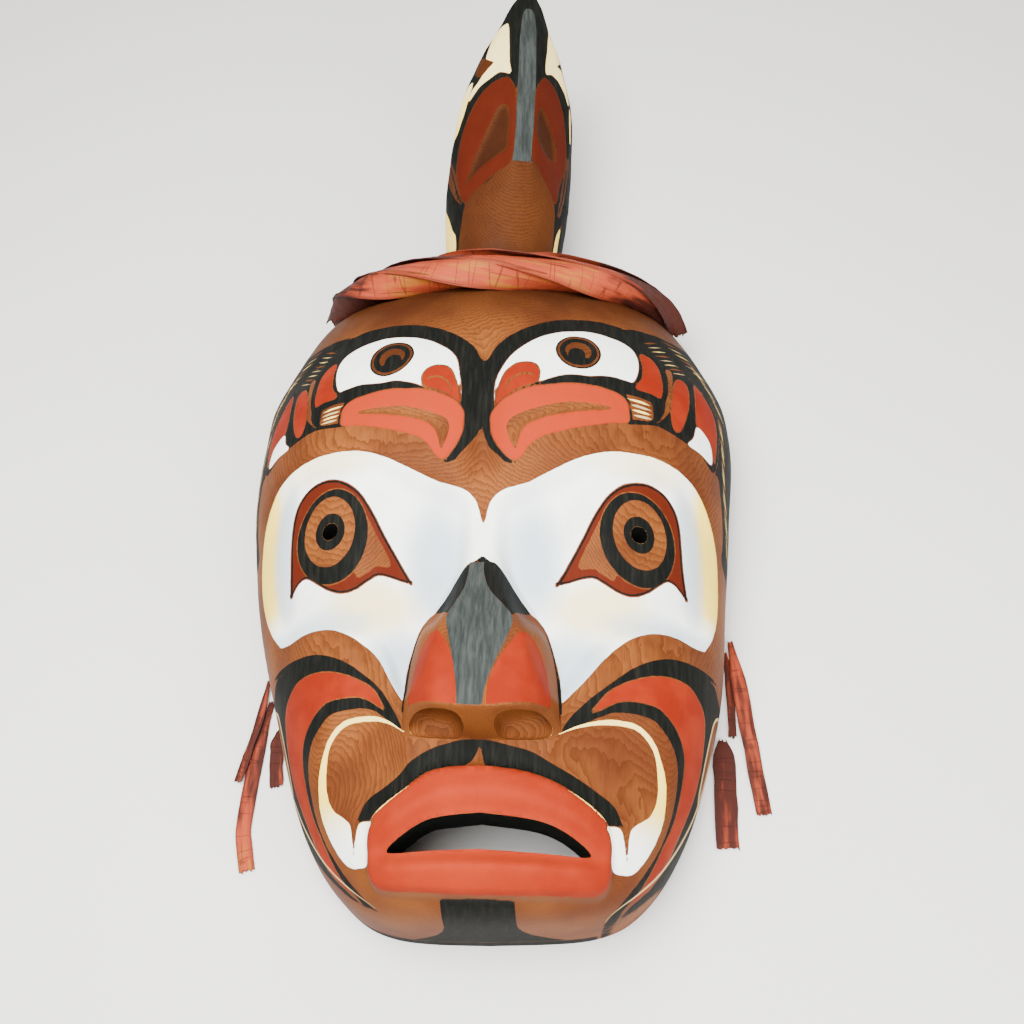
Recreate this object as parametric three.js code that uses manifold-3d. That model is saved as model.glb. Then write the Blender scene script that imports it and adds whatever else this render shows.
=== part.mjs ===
// A carved and painted face mask of red cedar, hollow at the back, with a keeled crest on the crown,
// a twisted band of cedar bark strips in front of the crest, and bark strip ends behind the cheeks.
// The mask lies on its back: millimetres, +X to the viewer's right, +Y from chin to crest, +Z forward.
// The origin is the middle of the flat back rim at the chin. The shapes below are drawn with y = 0 at
// the chin's outer edge, and the whole model moves by half the rim's width at the end.
import * as THREE from "three";
import { mergeVertices } from "three/addons/utils/BufferGeometryUtils.js";
import Module from "manifold-3d";

const wasm = await Module();
wasm.setup();

// Driving dimensions of the mask
const CENTRE_Y = 200;
const RIM_WIDTH = 13;
const WALL = 13;
const CREST_GAP = 0.4;
const EYE_X = 82;
const EYE_Y = 190;
const EYE_HOLE_RADIUS = 4.5;
const LEAN = 2;
const LIP_STEP = 1.5;
const EDGE_REACH = 5;
// Typical heights of the front and of the hollow, which only space the rings of points
const FRONT_HEIGHT = 112;
const HOLLOW_HEIGHT = 100;
const FRONT_RINGS = 34;
const BACK_RINGS = 13;
const FRONT_CROWDING = 6;
const BACK_CROWDING = 7.6;
// The hollow goes this much deeper behind the nose
const NOSE_HOLLOW = 14;
// The holes are cut from this height to well in front of the face
const CUT_FROM = 20;
const CUT_LENGTH = 140;

// Half width of the rim outline against height, from the chin to the crown
const RIM = [
  [0, 0], [52, 3], [80, 18], [103, 51], [120, 97], [133, 148],
  [144, 220], [149, 290], [143, 330], [113, 381], [60, 400], [0, 406],
];
// Height of the face's dome, and of the nose above it, against y
const DOME = [[0, 108], [110, 109], [165, 112], [200, 117], [232, 127], [300, 130], [406, 128]];
const NOSE = [[79, 38], [100, 36], [120, 29], [143, 18], [160, 10], [173, 4], [190, 0]];
const NOSE_RIDGE = [[79, 6.5], [100, 9], [116, 12.5], [131, 16.5], [140, 13], [150, 9], [173, 5], [190, 3]];
const NOSE_SIDE = [[79, 38.5], [95, 38.5], [115, 37], [130, 34], [143, 29], [160, 19], [173, 12], [190, 8]];
// Outlines on the viewer's right half of the face
const SOCKET = [
  [5, 199], [13, 212], [38, 222], [68, 234], [100, 237], [122, 222], [128, 190],
  [123, 155], [110, 139], [82, 138], [58, 124], [43, 97], [26, 100], [8, 165],
];
const LIPS = [[0, 65.3], [22, 62.8], [41, 53.3], [55, 42.5], [57.5, 26], [53, 11.5], [30, 8.6], [0, 7.6]];
const MOUTH = [[0, 43], [25, 40], [40, 33], [47, 25.5], [25, 26], [0, 27]];

const smooth = (t) => {
  const c = Math.min(Math.max(t, 0), 1);
  return c * c * (3 - 2 * c);
};

// A Catmull-Rom curve through the points, with a fixed number of steps in each span
function spline(points, steps, closed) {
  const count = points.length;
  const pick = (i) => points[closed ? (i + count) % count : Math.min(Math.max(i, 0), count - 1)];
  const out = [];
  for (let i = 0; i < (closed ? count : count - 1); i++) {
    const [a, b, c, d] = [pick(i - 1), pick(i), pick(i + 1), pick(i + 2)];
    for (let k = 0; k < steps; k++) {
      const t = k / steps;
      out.push(b.map((_, j) => 0.5 * (2 * b[j] + (c[j] - a[j]) * t
        + (2 * a[j] - 5 * b[j] + 4 * c[j] - d[j]) * t * t
        + (3 * b[j] - a[j] - 3 * c[j] + d[j]) * t * t * t)));
    }
  }
  if (!closed) out.push([...points[count - 1]]);
  return out;
}

// A smooth curve of one value through stations of [position, value], flat where it turns
function along(stations, at) {
  const last = stations.length - 2;
  let i = 0;
  while (i < last && at > stations[i + 1][0]) i++;
  const step = (k) => stations[k + 1][0] - stations[k][0];
  const slope = (k) => (stations[k + 1][1] - stations[k][1]) / step(k);
  const bend = (k) => {
    if (k === 0) return slope(0);
    if (k === last + 1) return slope(last);
    const [before, after] = [slope(k - 1), slope(k)];
    return before * after <= 0 ? 0 : 2 / (1 / before + 1 / after);
  };
  const u = Math.min(Math.max((at - stations[i][0]) / step(i), 0), 1);
  const [u2, u3] = [u * u, u * u * u];
  return (2 * u3 - 3 * u2 + 1) * stations[i][1] + (u3 - 2 * u2 + u) * step(i) * bend(i)
    + (3 * u2 - 2 * u3) * stations[i + 1][1] + (u3 - u2) * step(i) * bend(i + 1);
}

// A soft round bump of height 1 inside an ellipse
function bump(x, y, cx, cy, rx, ry) {
  const q = Math.max(1 - ((x - cx) / rx) ** 2 - ((y - cy) / ry) ** 2, 0);
  return q * q * (3 - 2 * q);
}

// Distance to a closed outline, positive inside it
function inside(x, y, outline) {
  let best = Infinity;
  let within = false;
  outline.forEach(([ax, ay], i) => {
    const [bx, by] = outline[(i + 1) % outline.length];
    const [ex, ey] = [bx - ax, by - ay];
    const t = Math.min(Math.max(((x - ax) * ex + (y - ay) * ey) / (ex * ex + ey * ey), 0), 1);
    best = Math.min(best, Math.hypot(x - ax - t * ex, y - ay - t * ey));
    if ((ay <= y) !== (by <= y) && x < ax + ((y - ay) * ex) / ey) within = !within;
  });
  return within ? best : -best;
}

function mirrored(half) {
  const right = spline(half, 5, false);
  const left = right.slice(1, -1).reverse().map(([x, y]) => [-x, y]);
  return [...right, ...left];
}

const socketOutline = spline(SOCKET, 4, true);
const lipsOutline = mirrored(LIPS);
const mouthOutline = mirrored(MOUTH);
const noseOutline = mirrored([[0, 77.5], [24, 78], ...NOSE_SIDE.map(([y, x]) => [x, y]), [0, 192]]);

// The rim as a distance from the centre in each direction; direction 0 points down to the chin
const rimHalf = spline(RIM, 8, false)
  .map(([x, y]) => [Math.atan2(x, CENTRE_Y - y), Math.hypot(x, y - CENTRE_Y)]);
function reach(direction) {
  let i = 0;
  while (i < rimHalf.length - 2 && direction > rimHalf[i + 1][0]) i++;
  const [[a, ra], [b, rb]] = [rimHalf[i], rimHalf[i + 1]];
  return ra + ((rb - ra) * Math.min(Math.max(direction - a, 0), b - a)) / (b - a);
}

// How square the dome's profile is: nearly upright at the chin, rounder at the cheeks and the crown,
// and roundest at the crown's shoulders
function squareness(direction) {
  const degrees = THREE.MathUtils.radToDeg(direction);
  const shoulder = 0.45 * Math.exp(-(((degrees - 140) / 24) ** 2));
  return 2.7 + 5 * Math.exp(-((degrees / 22) ** 2)) + 0.45 * smooth((degrees - 120) / 60) - shoulder;
}

function dome(x, y) {
  const direction = Math.atan2(Math.abs(x), CENTRE_Y - y);
  const n = squareness(direction);
  const share = Math.min(Math.hypot(x, y - CENTRE_Y) / reach(direction), 1);
  return along(DOME, y) * (1 - share ** n) ** (1 / n);
}

const noseTip = (x) => 82 + 9 * Math.min(x / 40, 1.1) ** 2;
const noseHeel = (x) => 78 + Math.min(x / 40, 1) ** 2;
const underNose = (x, y) => (y - noseHeel(x)) / (noseTip(x) - noseHeel(x));

// Height of the nose above the face; x is measured from the middle
function nose(x, y) {
  const ridge = along(NOSE_RIDGE, y);
  const u = Math.min(Math.max((x - ridge) / (along(NOSE_SIDE, y) - ridge), 0), 1);
  const wing = smooth((143 - y) / 18);
  const side = (1 - wing) * (1 - u) + wing * (1 - u ** 3.4);
  return along(NOSE, Math.max(y, NOSE[0][0])) * side * smooth(underNose(x, y));
}

// Carving that stands on or cuts into the dome: sockets, eye orbs, brows, cheeks, lips and nose
function carving(x, height) {
  const ax = Math.abs(x);
  const y = height + lean(x, height);
  const socket = inside(ax, y, socketOutline);
  const lips = inside(ax, y, lipsOutline);
  const mouth = inside(ax, y, mouthOutline);
  return -(4 + 4 * smooth((75 - ax) / 60)) * smooth(socket / 10)
    + 11 * bump(ax, y, EYE_X, EYE_Y, 48, 44) * smooth(socket / 6)
    + 6 * bump(ax, y, 62, 268, 85, 62)
    - 4 * Math.exp(-((ax / 9) ** 2)) * smooth((y - 205) / 25) * smooth((330 - y) / 50)
    - 6 * bump(ax, y, 62, 72, 30, 34)
    + 3 * bump(ax, y, 92, 100, 30, 50)
    + (4.5 + 7 * smooth((30 - y) / 20)) * smooth((lips + LIP_STEP) / (2 * LIP_STEP))
    + 4 * smooth((lips - 1) / 12) - 5 * smooth(1 + mouth / 9)
    + nose(ax, y);
}

// The carving sits a little lower on the viewer's right up to the eyes, and a little higher at the brow
function lean(x, y) {
  return LEAN * Math.min(Math.max(x / 80, -1), 1) * (1 - 2 * smooth((y - 225) / 65));
}

// The mask is a little wider on the viewer's right: all of the mouth, the outer cheek and the temple
function drift(x, y) {
  const ax = Math.abs(x);
  const aboveMouth = smooth((y - 50) / 25);
  const lower = smooth((ax - 36 * aboveMouth) / (45 - 21 * aboveMouth)) * smooth((190 - y) / 80);
  return 4 * lower + 3 * smooth((ax - 70) / 60) * smooth((y - 230) / 60);
}

// Equal steps from the top of the dome to the rim, as [share of the reach, share of the height]
function profile(direction, rings, height) {
  const n = squareness(direction);
  const radius = reach(direction);
  const samples = [];
  let length = 0;
  for (let i = 0; i <= 90; i++) {
    const angle = THREE.MathUtils.degToRad(90 - i);
    const [c, s] = [Math.cos(angle), Math.sin(angle)];
    const norm = (c ** n + s ** n) ** (1 / n);
    const point = [c / norm, i === 90 ? 0 : s / norm];
    if (i > 0) {
      const before = samples[i - 1].point;
      length += Math.hypot((point[0] - before[0]) * radius, (point[1] - before[1]) * height);
    }
    samples.push({ point, length });
  }
  const out = [];
  for (let ring = 0, i = 0; ring <= rings; ring++) {
    const want = (length * ring) / rings;
    while (i < samples.length - 2 && samples[i + 1].length < want) i++;
    const [a, b] = [samples[i], samples[i + 1]];
    const t = (want - a.length) / (b.length - a.length);
    out.push([0, 1].map((k) => a.point[k] + (b.point[k] - a.point[k]) * t));
  }
  return out;
}

// Rings of points from the centre outwards, joined into triangles; place() puts a point in space
function ringSurface(rings, crowding, place) {
  const outline = mirrored(RIM);
  const lengths = [0];
  outline.forEach((p, i) => {
    const q = outline[(i + 1) % outline.length];
    lengths.push(lengths[i] + Math.hypot(q[0] - p[0], q[1] - p[1]));
  });
  const perimeter = lengths.at(-1);
  const onOutline = (share) => {
    const want = (share - Math.floor(share)) * perimeter;
    let i = 0;
    while (i < outline.length - 1 && lengths[i + 1] < want) i++;
    const t = (want - lengths[i]) / (lengths[i + 1] - lengths[i]);
    const [p, q] = [outline[i], outline[(i + 1) % outline.length]];
    return [p[0] + (q[0] - p[0]) * t, p[1] + (q[1] - p[1]) * t];
  };
  const points = [place(Math.PI, 1, rings, 0)];
  const loops = [[0]];
  for (let ring = 1; ring <= rings; ring++) {
    const count = Math.max(6, Math.round(crowding * ring ** 0.93));
    const loop = [];
    for (let k = 0; k < count; k++) {
      const [x, y] = onOutline((k + 0.5 * (ring % 2)) / count);
      loop.push(points.length);
      points.push(place(Math.atan2(Math.abs(x), CENTRE_Y - y), Math.sign(x) || 1, rings, ring));
    }
    loops.push(loop);
  }
  const faces = [];
  for (let ring = 1; ring <= rings; ring++) zip(loops[ring - 1], loops[ring], points, faces);
  return { points, faces, rim: loops[rings] };
}

// Triangles between two loops of points, always across the shorter diagonal
function zip(inner, outer, points, faces) {
  const apart = (a, b) => Math.hypot(...points[a].map((v, k) => v - points[b][k]));
  const at = (loop, i) => loop[i % loop.length];
  let start = 0;
  outer.forEach((index, i) => {
    if (apart(index, inner[0]) < apart(outer[start], inner[0])) start = i;
  });
  const turned = [...outer.slice(start), ...outer.slice(0, start)];
  let [i, j] = [0, 0];
  const innerSteps = inner.length > 1 ? inner.length : 0;
  while (i < innerSteps || j < turned.length) {
    const [a, b] = [at(inner, i), at(turned, j)];
    const [nextA, nextB] = [at(inner, i + 1), at(turned, j + 1)];
    const stepOuter = i >= innerSteps || (j < turned.length && apart(a, nextB) <= apart(nextA, b));
    if (stepOuter) {
      faces.push([a, b, nextB]);
      j++;
    } else {
      faces.push([a, b, nextA]);
      i++;
    }
  }
}

function geometryOf(points, faces) {
  const geometry = new THREE.BufferGeometry();
  geometry.setAttribute("position", new THREE.Float32BufferAttribute(points.flat(), 3));
  geometry.setIndex(faces.flat());
  return geometry;
}

// Conversions to and from a manifold-3d solid, which only joins and cuts here
function solidOf(geometry) {
  const bare = geometry.clone();
  bare.deleteAttribute("normal");
  bare.deleteAttribute("uv");
  const merged = mergeVertices(bare, 1e-4);
  return new wasm.Manifold(new wasm.Mesh({
    numProp: 3,
    vertProperties: new Float32Array(merged.attributes.position.array),
    triVerts: new Uint32Array(merged.index.array),
  }));
}

function geometryFrom(solid) {
  const mesh = solid.getMesh();
  const geometry = new THREE.BufferGeometry();
  geometry.setAttribute("position", new THREE.BufferAttribute(new Float32Array(mesh.vertProperties), 3));
  geometry.setIndex(new THREE.BufferAttribute(new Uint32Array(mesh.triVerts), 1));
  return geometry;
}

// More rings fall on the underside of the nose and round the mouth, where the carving is steep
function crowd(x, y, freedom) {
  const near = 0.36 * freedom * Math.exp(-((x / 75) ** 2) - ((y - 85) / 85) ** 2);
  const pulled = [x * (1 - near), y + (85 - y) * near];
  const rows = [[0, 0], [30, 34], [68, 77.5], [88, 85], [125, 120], [200, 200], [406, 406]];
  const nearNose = freedom * (1 - smooth((Math.abs(pulled[0]) - 38) / 40));
  return [pulled[0], pulled[1] + (along(rows, pulled[1]) - pulled[1]) * nearNose];
}

// Moves a point to one side of a carved edge, so that the edge runs between rows of points
function beside([x, y], outline) {
  const edge = inside(x, y, outline);
  if (Math.abs(edge) >= EDGE_REACH) return [x, y];
  const step = 0.5;
  const slope = [inside(x + step, y, outline) - edge, inside(x, y + step, outline) - edge];
  const length = Math.hypot(...slope) || 1;
  const move = Math.sign(edge) * LIP_STEP * (1 - Math.abs(edge) / EDGE_REACH);
  return [x + (slope[0] / length) * move, y + (slope[1] / length) * move];
}

// A point of the carved front; nostrils are hollows in the steep underside of the nose
function frontPoint(direction, side, rings, ring) {
  const [share, rise] = profile(direction, rings, FRONT_HEIGHT)[ring];
  const radius = reach(direction) * share;
  const flat = [side * Math.sin(direction) * radius, CENTRE_Y - Math.cos(direction) * radius];
  if (share > 0.9) {
    const [x, y] = share > 0.98 ? flat : beside(flat, lipsOutline);
    return [x + drift(x, y), y, along(DOME, y) * rise + carving(x, y) * smooth(rise * 4)];
  }
  const freedom = smooth((0.9 - share) / 0.3);
  const [x, level] = beside(beside(crowd(...flat, freedom), lipsOutline), noseOutline);
  const y = level - lean(x, level) * freedom;
  const under = underNose(Math.abs(x), y + lean(x, y));
  const nostril = 8 * bump(Math.abs(x), under, 23, 0.45, 16, 0.5);
  return [x + drift(x, y), y + nostril, dome(x, y) + carving(x, y)];
}

// A point of the smooth hollow behind the face
function backPoint(direction, side, rings, ring) {
  const [share, rise] = profile(direction, rings, HOLLOW_HEIGHT)[ring];
  const radius = (reach(direction) - RIM_WIDTH) * share;
  const x = side * Math.sin(direction) * radius;
  const y = CENTRE_Y - Math.cos(direction) * radius;
  const behindNose = NOSE_HOLLOW * bump(x, y, 0, 105, 30, 55);
  return [x + drift(x, y), y, (along(DOME, y) - WALL - 6) * rise + behindNose];
}

function maskShell(front) {
  const back = ringSurface(BACK_RINGS, BACK_CROWDING, backPoint);
  const points = [...front.points, ...back.points];
  const shift = front.points.length;
  const faces = [...front.faces, ...back.faces.map(([a, b, c]) => [a + shift, c + shift, b + shift])];
  const rimFaces = [];
  zip(back.rim.map((i) => i + shift), front.rim, points, rimFaces);
  faces.push(...rimFaces.map(([a, b, c]) => [a, c, b]));
  let solid = solidOf(geometryOf(points, faces));
  const mouthShape = new THREE.Shape(mouthOutline.map(([x, y]) => (
    new THREE.Vector2(x + drift(x, y), y - lean(x, y)))));
  const mouthCut = new THREE.ExtrudeGeometry(mouthShape, { depth: CUT_LENGTH, bevelEnabled: false });
  mouthCut.translate(0, 0, CUT_FROM);
  solid = solid.subtract(solidOf(mouthCut));
  for (const side of [-1, 1]) {
    const hole = new THREE.CylinderGeometry(EYE_HOLE_RADIUS, EYE_HOLE_RADIUS, CUT_LENGTH, 16);
    hole.rotateX(Math.PI / 2);
    hole.translate(side * EYE_X, EYE_Y - side * LEAN, CUT_FROM + CUT_LENGTH / 2);
    solid = solid.subtract(solidOf(hole));
  }
  return geometryFrom(solid);
}

// The front, closed below and everywhere a little outside the shell: it cuts what stands on the face
function domeCutter(front, gap) {
  const geometry = geometryOf(front.points, front.faces);
  geometry.computeVertexNormals();
  const normals = geometry.attributes.normal;
  const points = front.points.map((p, i) => [
    p[0] + normals.getX(i) * gap, p[1] + normals.getY(i) * gap, p[2] + normals.getZ(i) * gap,
  ]);
  const below = points.length;
  front.rim.forEach((i) => points.push([points[i][0], points[i][1], -10]));
  points.push([0, CENTRE_Y, -10]);
  const count = front.rim.length;
  const faces = [...front.faces];
  for (let i = 0; i < count; i++) {
    const next = (i + 1) % count;
    faces.push([front.rim[i], below + i, front.rim[next]], [front.rim[next], below + i, below + next]);
    faces.push([below + next, below + i, below + count]);
  }
  return solidOf(geometryOf(points, faces));
}

// A body through a row of closed sections with the same number of points, capped at both ends
function loft(sections) {
  const count = sections[0].length;
  const points = sections.flat();
  const faces = [];
  for (let s = 0; s < sections.length - 1; s++) {
    for (let k = 0; k < count; k++) {
      const [a, b] = [s * count + k, s * count + ((k + 1) % count)];
      faces.push([a, b, a + count], [b, b + count, a + count]);
    }
  }
  const middle = (section) => section[0].map((_, j) => section.reduce((sum, p) => sum + p[j], 0) / count);
  const [bottom, top] = [points.length, points.length + 1];
  points.push(middle(sections[0]), middle(sections.at(-1)));
  const lastRow = (sections.length - 1) * count;
  for (let k = 0; k < count; k++) {
    const next = (k + 1) % count;
    faces.push([bottom, next, k], [top, lastRow + k, lastRow + next]);
  }
  return geometryOf(points, faces);
}

// The crest, from its foot on the crown to its tip, against the share of its length
const CREST_FOOT = [0, 360, 34];
const CREST_TOP = [26, 606, 130];
const CREST_TWIST = -15;
const CREST_STEPS = 21;
const CREST_WIDTH = [
  [0, 33.5], [0.25, 39], [0.45, 43.5], [0.65, 41], [0.8, 30.5], [0.92, 16.5], [0.97, 11], [1, 6],
];
const CREST_KEEL = [[0, 26], [0.15, 31], [0.27, 44], [0.6, 33], [0.85, 17], [1, 3]];
const CREST_BACK = [[0, 26], [0.5, 24], [0.85, 13], [1, 2]];
const CREST_FACET = [[0, 9], [0.5, 7], [0.9, 5], [1, 1.2]];

function crestSection(share) {
  const width = along(CREST_WIDTH, share);
  const keel = along(CREST_KEEL, share);
  const back = along(CREST_BACK, share);
  const facet = Math.min(along(CREST_FACET, share), width * 0.5);
  const right = [
    [facet, keel], [facet + (width - facet) * 0.4, keel * 0.68], [width * 0.86, keel * 0.3],
    [width, -back * 0.1], [width * 0.86, -back * 0.6], [width * 0.45, -back * 0.95],
  ];
  const left = right.map(([u, v]) => [-u, v]).reverse();
  const turn = THREE.MathUtils.degToRad(CREST_TWIST);
  const centre = CREST_FOOT.map((v, k) => v + (CREST_TOP[k] - v) * share);
  const lean = Math.atan2(CREST_TOP[2] - CREST_FOOT[2], CREST_TOP[1] - CREST_FOOT[1]);
  return [...right, ...left].map(([u, v]) => {
    const across = u * Math.cos(turn) - v * Math.sin(turn);
    const forward = u * Math.sin(turn) + v * Math.cos(turn);
    return [centre[0] + across, centre[1] - forward * Math.sin(lean), centre[2] + forward * Math.cos(lean)];
  });
}

function crest(cutter) {
  const sections = [];
  for (let i = 0; i <= CREST_STEPS; i++) sections.push(crestSection(1 - (1 - i / CREST_STEPS) ** 1.25));
  return geometryFrom(solidOf(loft(sections)).subtract(cutter));
}

// A flat strip along a route; width() gives its width, and facing() where its flat side looks
function strip(route, width, thickness, facing) {
  const sections = route.map((p, i) => {
    const before = new THREE.Vector3(...route[Math.max(i - 1, 0)]);
    const after = new THREE.Vector3(...route[Math.min(i + 1, route.length - 1)]);
    const forward = after.sub(before).normalize();
    const up = facing(i / (route.length - 1)).clone();
    up.addScaledVector(forward, -up.dot(forward)).normalize();
    const across = new THREE.Vector3().crossVectors(forward, up);
    const half = width(i / (route.length - 1)) / 2;
    return [[1, 1], [1, -1], [-1, -1], [-1, 1]].map(([u, v]) => new THREE.Vector3(...p)
      .addScaledVector(across, u * half).addScaledVector(up, (v * thickness) / 2).toArray());
  });
  return loft(sections);
}

// The band: strips wound side by side round a flattened bundle that lies over the crown.
// Its route is given as [degrees from the crown towards the viewer's right, share of the way to the rim].
const BAND_ROUTE = [
  [-27.4, 0.985], [-26, 0.955], [-22.5, 0.915], [-16, 0.875], [-7, 0.845],
  [5, 0.835], [15.5, 0.86], [24, 0.91], [29.8, 0.953], [32.8, 0.982],
];
const BAND_STRIPS = 5;
const BAND_TURNS = 1;
const BAND_ACROSS = 16;
const BAND_DEEP = 9;
const BAND_GAP = 1.2;
const BAND_STRIP_WIDTH = 13;
const BARK_THICKNESS = 1.2;

// A point on the crown, with its outward direction
function crown(degrees, share) {
  const pointAt = (turn, part) => {
    const heading = THREE.MathUtils.degToRad(turn);
    const n = squareness(Math.PI - Math.abs(heading));
    const radius = reach(Math.PI - Math.abs(heading)) * part;
    const [x, y] = [Math.sin(heading) * radius, CENTRE_Y + Math.cos(heading) * radius];
    return new THREE.Vector3(x, y, along(DOME, y) * (1 - part ** n) ** (1 / n) + carving(x, y));
  };
  const centre = pointAt(degrees, share);
  const right = pointAt(degrees + 0.5, share).sub(centre);
  const back = pointAt(degrees, share + 0.002).sub(centre);
  return { centre, out: right.cross(back).normalize() };
}

function bandStrip(index) {
  const route = spline(BAND_ROUTE, 3, false);
  const bundle = route.map(([degrees, share]) => {
    const { centre, out } = crown(degrees, share);
    return { centre: centre.addScaledVector(out, BAND_DEEP + BARK_THICKNESS / 2 + BAND_GAP), out };
  });
  const samples = bundle.map(({ centre, out }, i) => {
    const share = i / (bundle.length - 1);
    const forward = bundle[Math.min(i + 1, bundle.length - 1)].centre.clone()
      .sub(bundle[Math.max(i - 1, 0)].centre).normalize();
    const side = new THREE.Vector3().crossVectors(out, forward).normalize();
    const angle = 2 * Math.PI * (index / BAND_STRIPS + BAND_TURNS * share);
    const slim = 0.7 + 0.3 * smooth(4 * Math.min(share, 1 - share));
    const [c, s] = [Math.cos(angle), Math.sin(angle)];
    const facing = side.clone().multiplyScalar(c / BAND_ACROSS).addScaledVector(out, s / BAND_DEEP);
    const point = centre.clone().addScaledVector(side, c * BAND_ACROSS * slim)
      .addScaledVector(out, s * BAND_DEEP * slim);
    return { point: point.toArray(), facing: facing.normalize() };
  });
  const width = (share) => BAND_STRIP_WIDTH * (0.55 + 0.45 * smooth(4 * Math.min(share, 1 - share)));
  const facing = (share) => samples[Math.round(share * (samples.length - 1))].facing;
  return strip(samples.map((s) => s.point), width, BARK_THICKNESS, facing);
}

// Strip ends behind the cheeks, each from the side wall down to the surface that the mask lies on
const HANGING = {
  left_1: { width: 4.5, route: [[-134, 150, 3.4], [-136.6, 128, 3.4], [-141, 107, 3.2], [-145.6, 88, 3.2]] },
  left_2: {
    width: 9,
    route: [[-131, 138, 1], [-136.6, 107, 1], [-139.4, 67, 1], [-138, 53, 1], [-134, 38, 1]],
  },
  left_3: { width: 8, route: [[-124.7, 120, 1.2], [-125.6, 110, 1], [-124.8, 100, 1], [-123.4, 85, 1]] },
  right_1: { width: 5, route: [[139.9, 166, 1], [140.4, 150, 1], [140, 130, 1], [139, 112, 1]] },
  right_2: {
    width: 9,
    route: [[143, 172, 3.4], [145.5, 148, 3.2], [147.5, 122, 2.6], [150, 96, 1.2], [152.5, 67, 1]],
  },
  right_3: { width: 13, route: [[133, 112, 1.6], [132.8, 98, 1], [131.6, 70, 1], [130.3, 49, 1]] },
};

// Each widens from a narrow end at the wall
function hangingStrip({ width, route }) {
  const widening = (share) => width * (0.35 + 0.65 * smooth(share / 0.3));
  return strip(spline(route, 4, false), widening, BARK_THICKNESS, () => new THREE.Vector3(0, 0, 1));
}

function piece(name, geometry, color, roughness) {
  const mesh = new THREE.Mesh(geometry, new THREE.MeshStandardMaterial({ color, roughness, metalness: 0 }));
  mesh.name = name;
  return mesh;
}

const model = new THREE.Group();
model.position.y = -RIM_WIDTH / 2;
const front = ringSurface(FRONT_RINGS, FRONT_CROWDING, frontPoint);
model.add(piece("mask_shell", maskShell(front), 0x9a5d33, 0.6));
model.add(piece("crest", crest(domeCutter(front, CREST_GAP)), 0x9a5d33, 0.6));
for (let i = 0; i < BAND_STRIPS; i++) model.add(piece(`band_strip_${i + 1}`, bandStrip(i), 0xb9603f, 0.75));
for (const [name, shape] of Object.entries(HANGING)) {
  model.add(piece(`hanging_strip_${name}`, hangingStrip(shape), 0xc5684b, 0.75));
}

export default model;
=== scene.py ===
"""A carved and painted cedar mask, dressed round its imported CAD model. Lengths are in millimetres until
a mesh is made; the shapes are drawn with y = 0 at the chin's outer edge, as in the CAD model's source."""

import math

import bpy
import numpy as np
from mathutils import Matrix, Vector


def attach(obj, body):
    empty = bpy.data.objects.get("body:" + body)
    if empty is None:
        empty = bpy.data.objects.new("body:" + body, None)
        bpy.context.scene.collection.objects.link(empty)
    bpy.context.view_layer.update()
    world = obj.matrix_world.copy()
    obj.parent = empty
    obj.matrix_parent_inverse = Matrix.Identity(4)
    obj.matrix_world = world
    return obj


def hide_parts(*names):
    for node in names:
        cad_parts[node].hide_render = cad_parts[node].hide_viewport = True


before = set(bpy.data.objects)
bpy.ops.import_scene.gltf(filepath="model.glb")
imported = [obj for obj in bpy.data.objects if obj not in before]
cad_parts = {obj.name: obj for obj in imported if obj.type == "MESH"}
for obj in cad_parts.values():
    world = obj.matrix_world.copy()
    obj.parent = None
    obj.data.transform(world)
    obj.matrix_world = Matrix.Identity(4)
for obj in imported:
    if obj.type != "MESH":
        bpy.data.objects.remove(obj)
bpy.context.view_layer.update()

MM = 0.001

# Driving dimensions of the mask, the same as in the CAD model
CENTRE_Y = 200
RIM_WIDTH = 13
WALL = 13
EYE_X = 82
EYE_Y = 190
LEAN = 2
EYE_HOLE_RADIUS = 4.5
LIP_STEP = 1.2

# Half width of the rim outline against height, from the chin to the crown
RIM = [
    (0, 0), (52, 3), (80, 18), (103, 51), (120, 97), (133, 148), (144, 220), (149, 290), (143, 330),
    (113, 381), (60, 400), (0, 406),
]
# Height of the face's dome, and of the nose above it, against y
DOME = [(0, 108), (110, 109), (165, 112), (200, 117), (232, 127), (300, 130), (406, 128)]
NOSE = [(79, 38), (100, 36), (120, 29), (143, 18), (160, 10), (173, 4), (190, 0)]
NOSE_RIDGE = [(79, 6.5), (100, 9), (116, 12.5), (131, 16.5), (140, 13), (150, 9), (173, 5), (190, 3)]
NOSE_SIDE = [(79, 38.5), (95, 38.5), (115, 37), (130, 34), (143, 29), (160, 19), (173, 12), (190, 8)]
# The nose's underside starts here on the middle line and ends here, and both rise towards its sides
HEEL_Y = 78
HEEL_RISE = 1
NOSE_EDGE_Y = 82
NOSE_EDGE_RISE = 9
NOSE_HALF_WIDTH = 40
# How fast the nose's wings fall off to the side
WING_POWER = 3.4
# Outlines on the viewer's right half of the face
SOCKET = [
    (5, 199), (13, 212), (38, 222), (68, 234), (100, 237), (122, 222), (128, 190), (123, 155), (110, 139),
    (82, 138), (58, 124), (43, 97), (26, 100), (8, 165),
]
LIPS = [(0, 65.3), (22, 62.8), (41, 53.3), (55, 42.5), (57.5, 26), (53, 11.5), (30, 8.6), (0, 7.6)]
MOUTH = [(0, 43), (25, 40), (40, 33), (47, 25.5), (25, 26), (0, 27)]

# Heights and depths of the carving over the dome
SOCKET_DEPTH = 4
EYEBALL_HEIGHT = 11
FURROW_DEPTH = 4
LIP_HEIGHT = 4.5
LOWER_LIP_HEIGHT = 7
LIP_CROWN = 4
MOUTH_SINK = 5
# Soft ellipses on the right half, as middle x and y and half spans; the swells have their height first
EYEBALL = (EYE_X, EYE_Y, 48, 44)
SWELLS = [(6, 62, 268, 85, 62), (-6, 62, 72, 30, 34), (3, 92, 100, 30, 50)]


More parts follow.
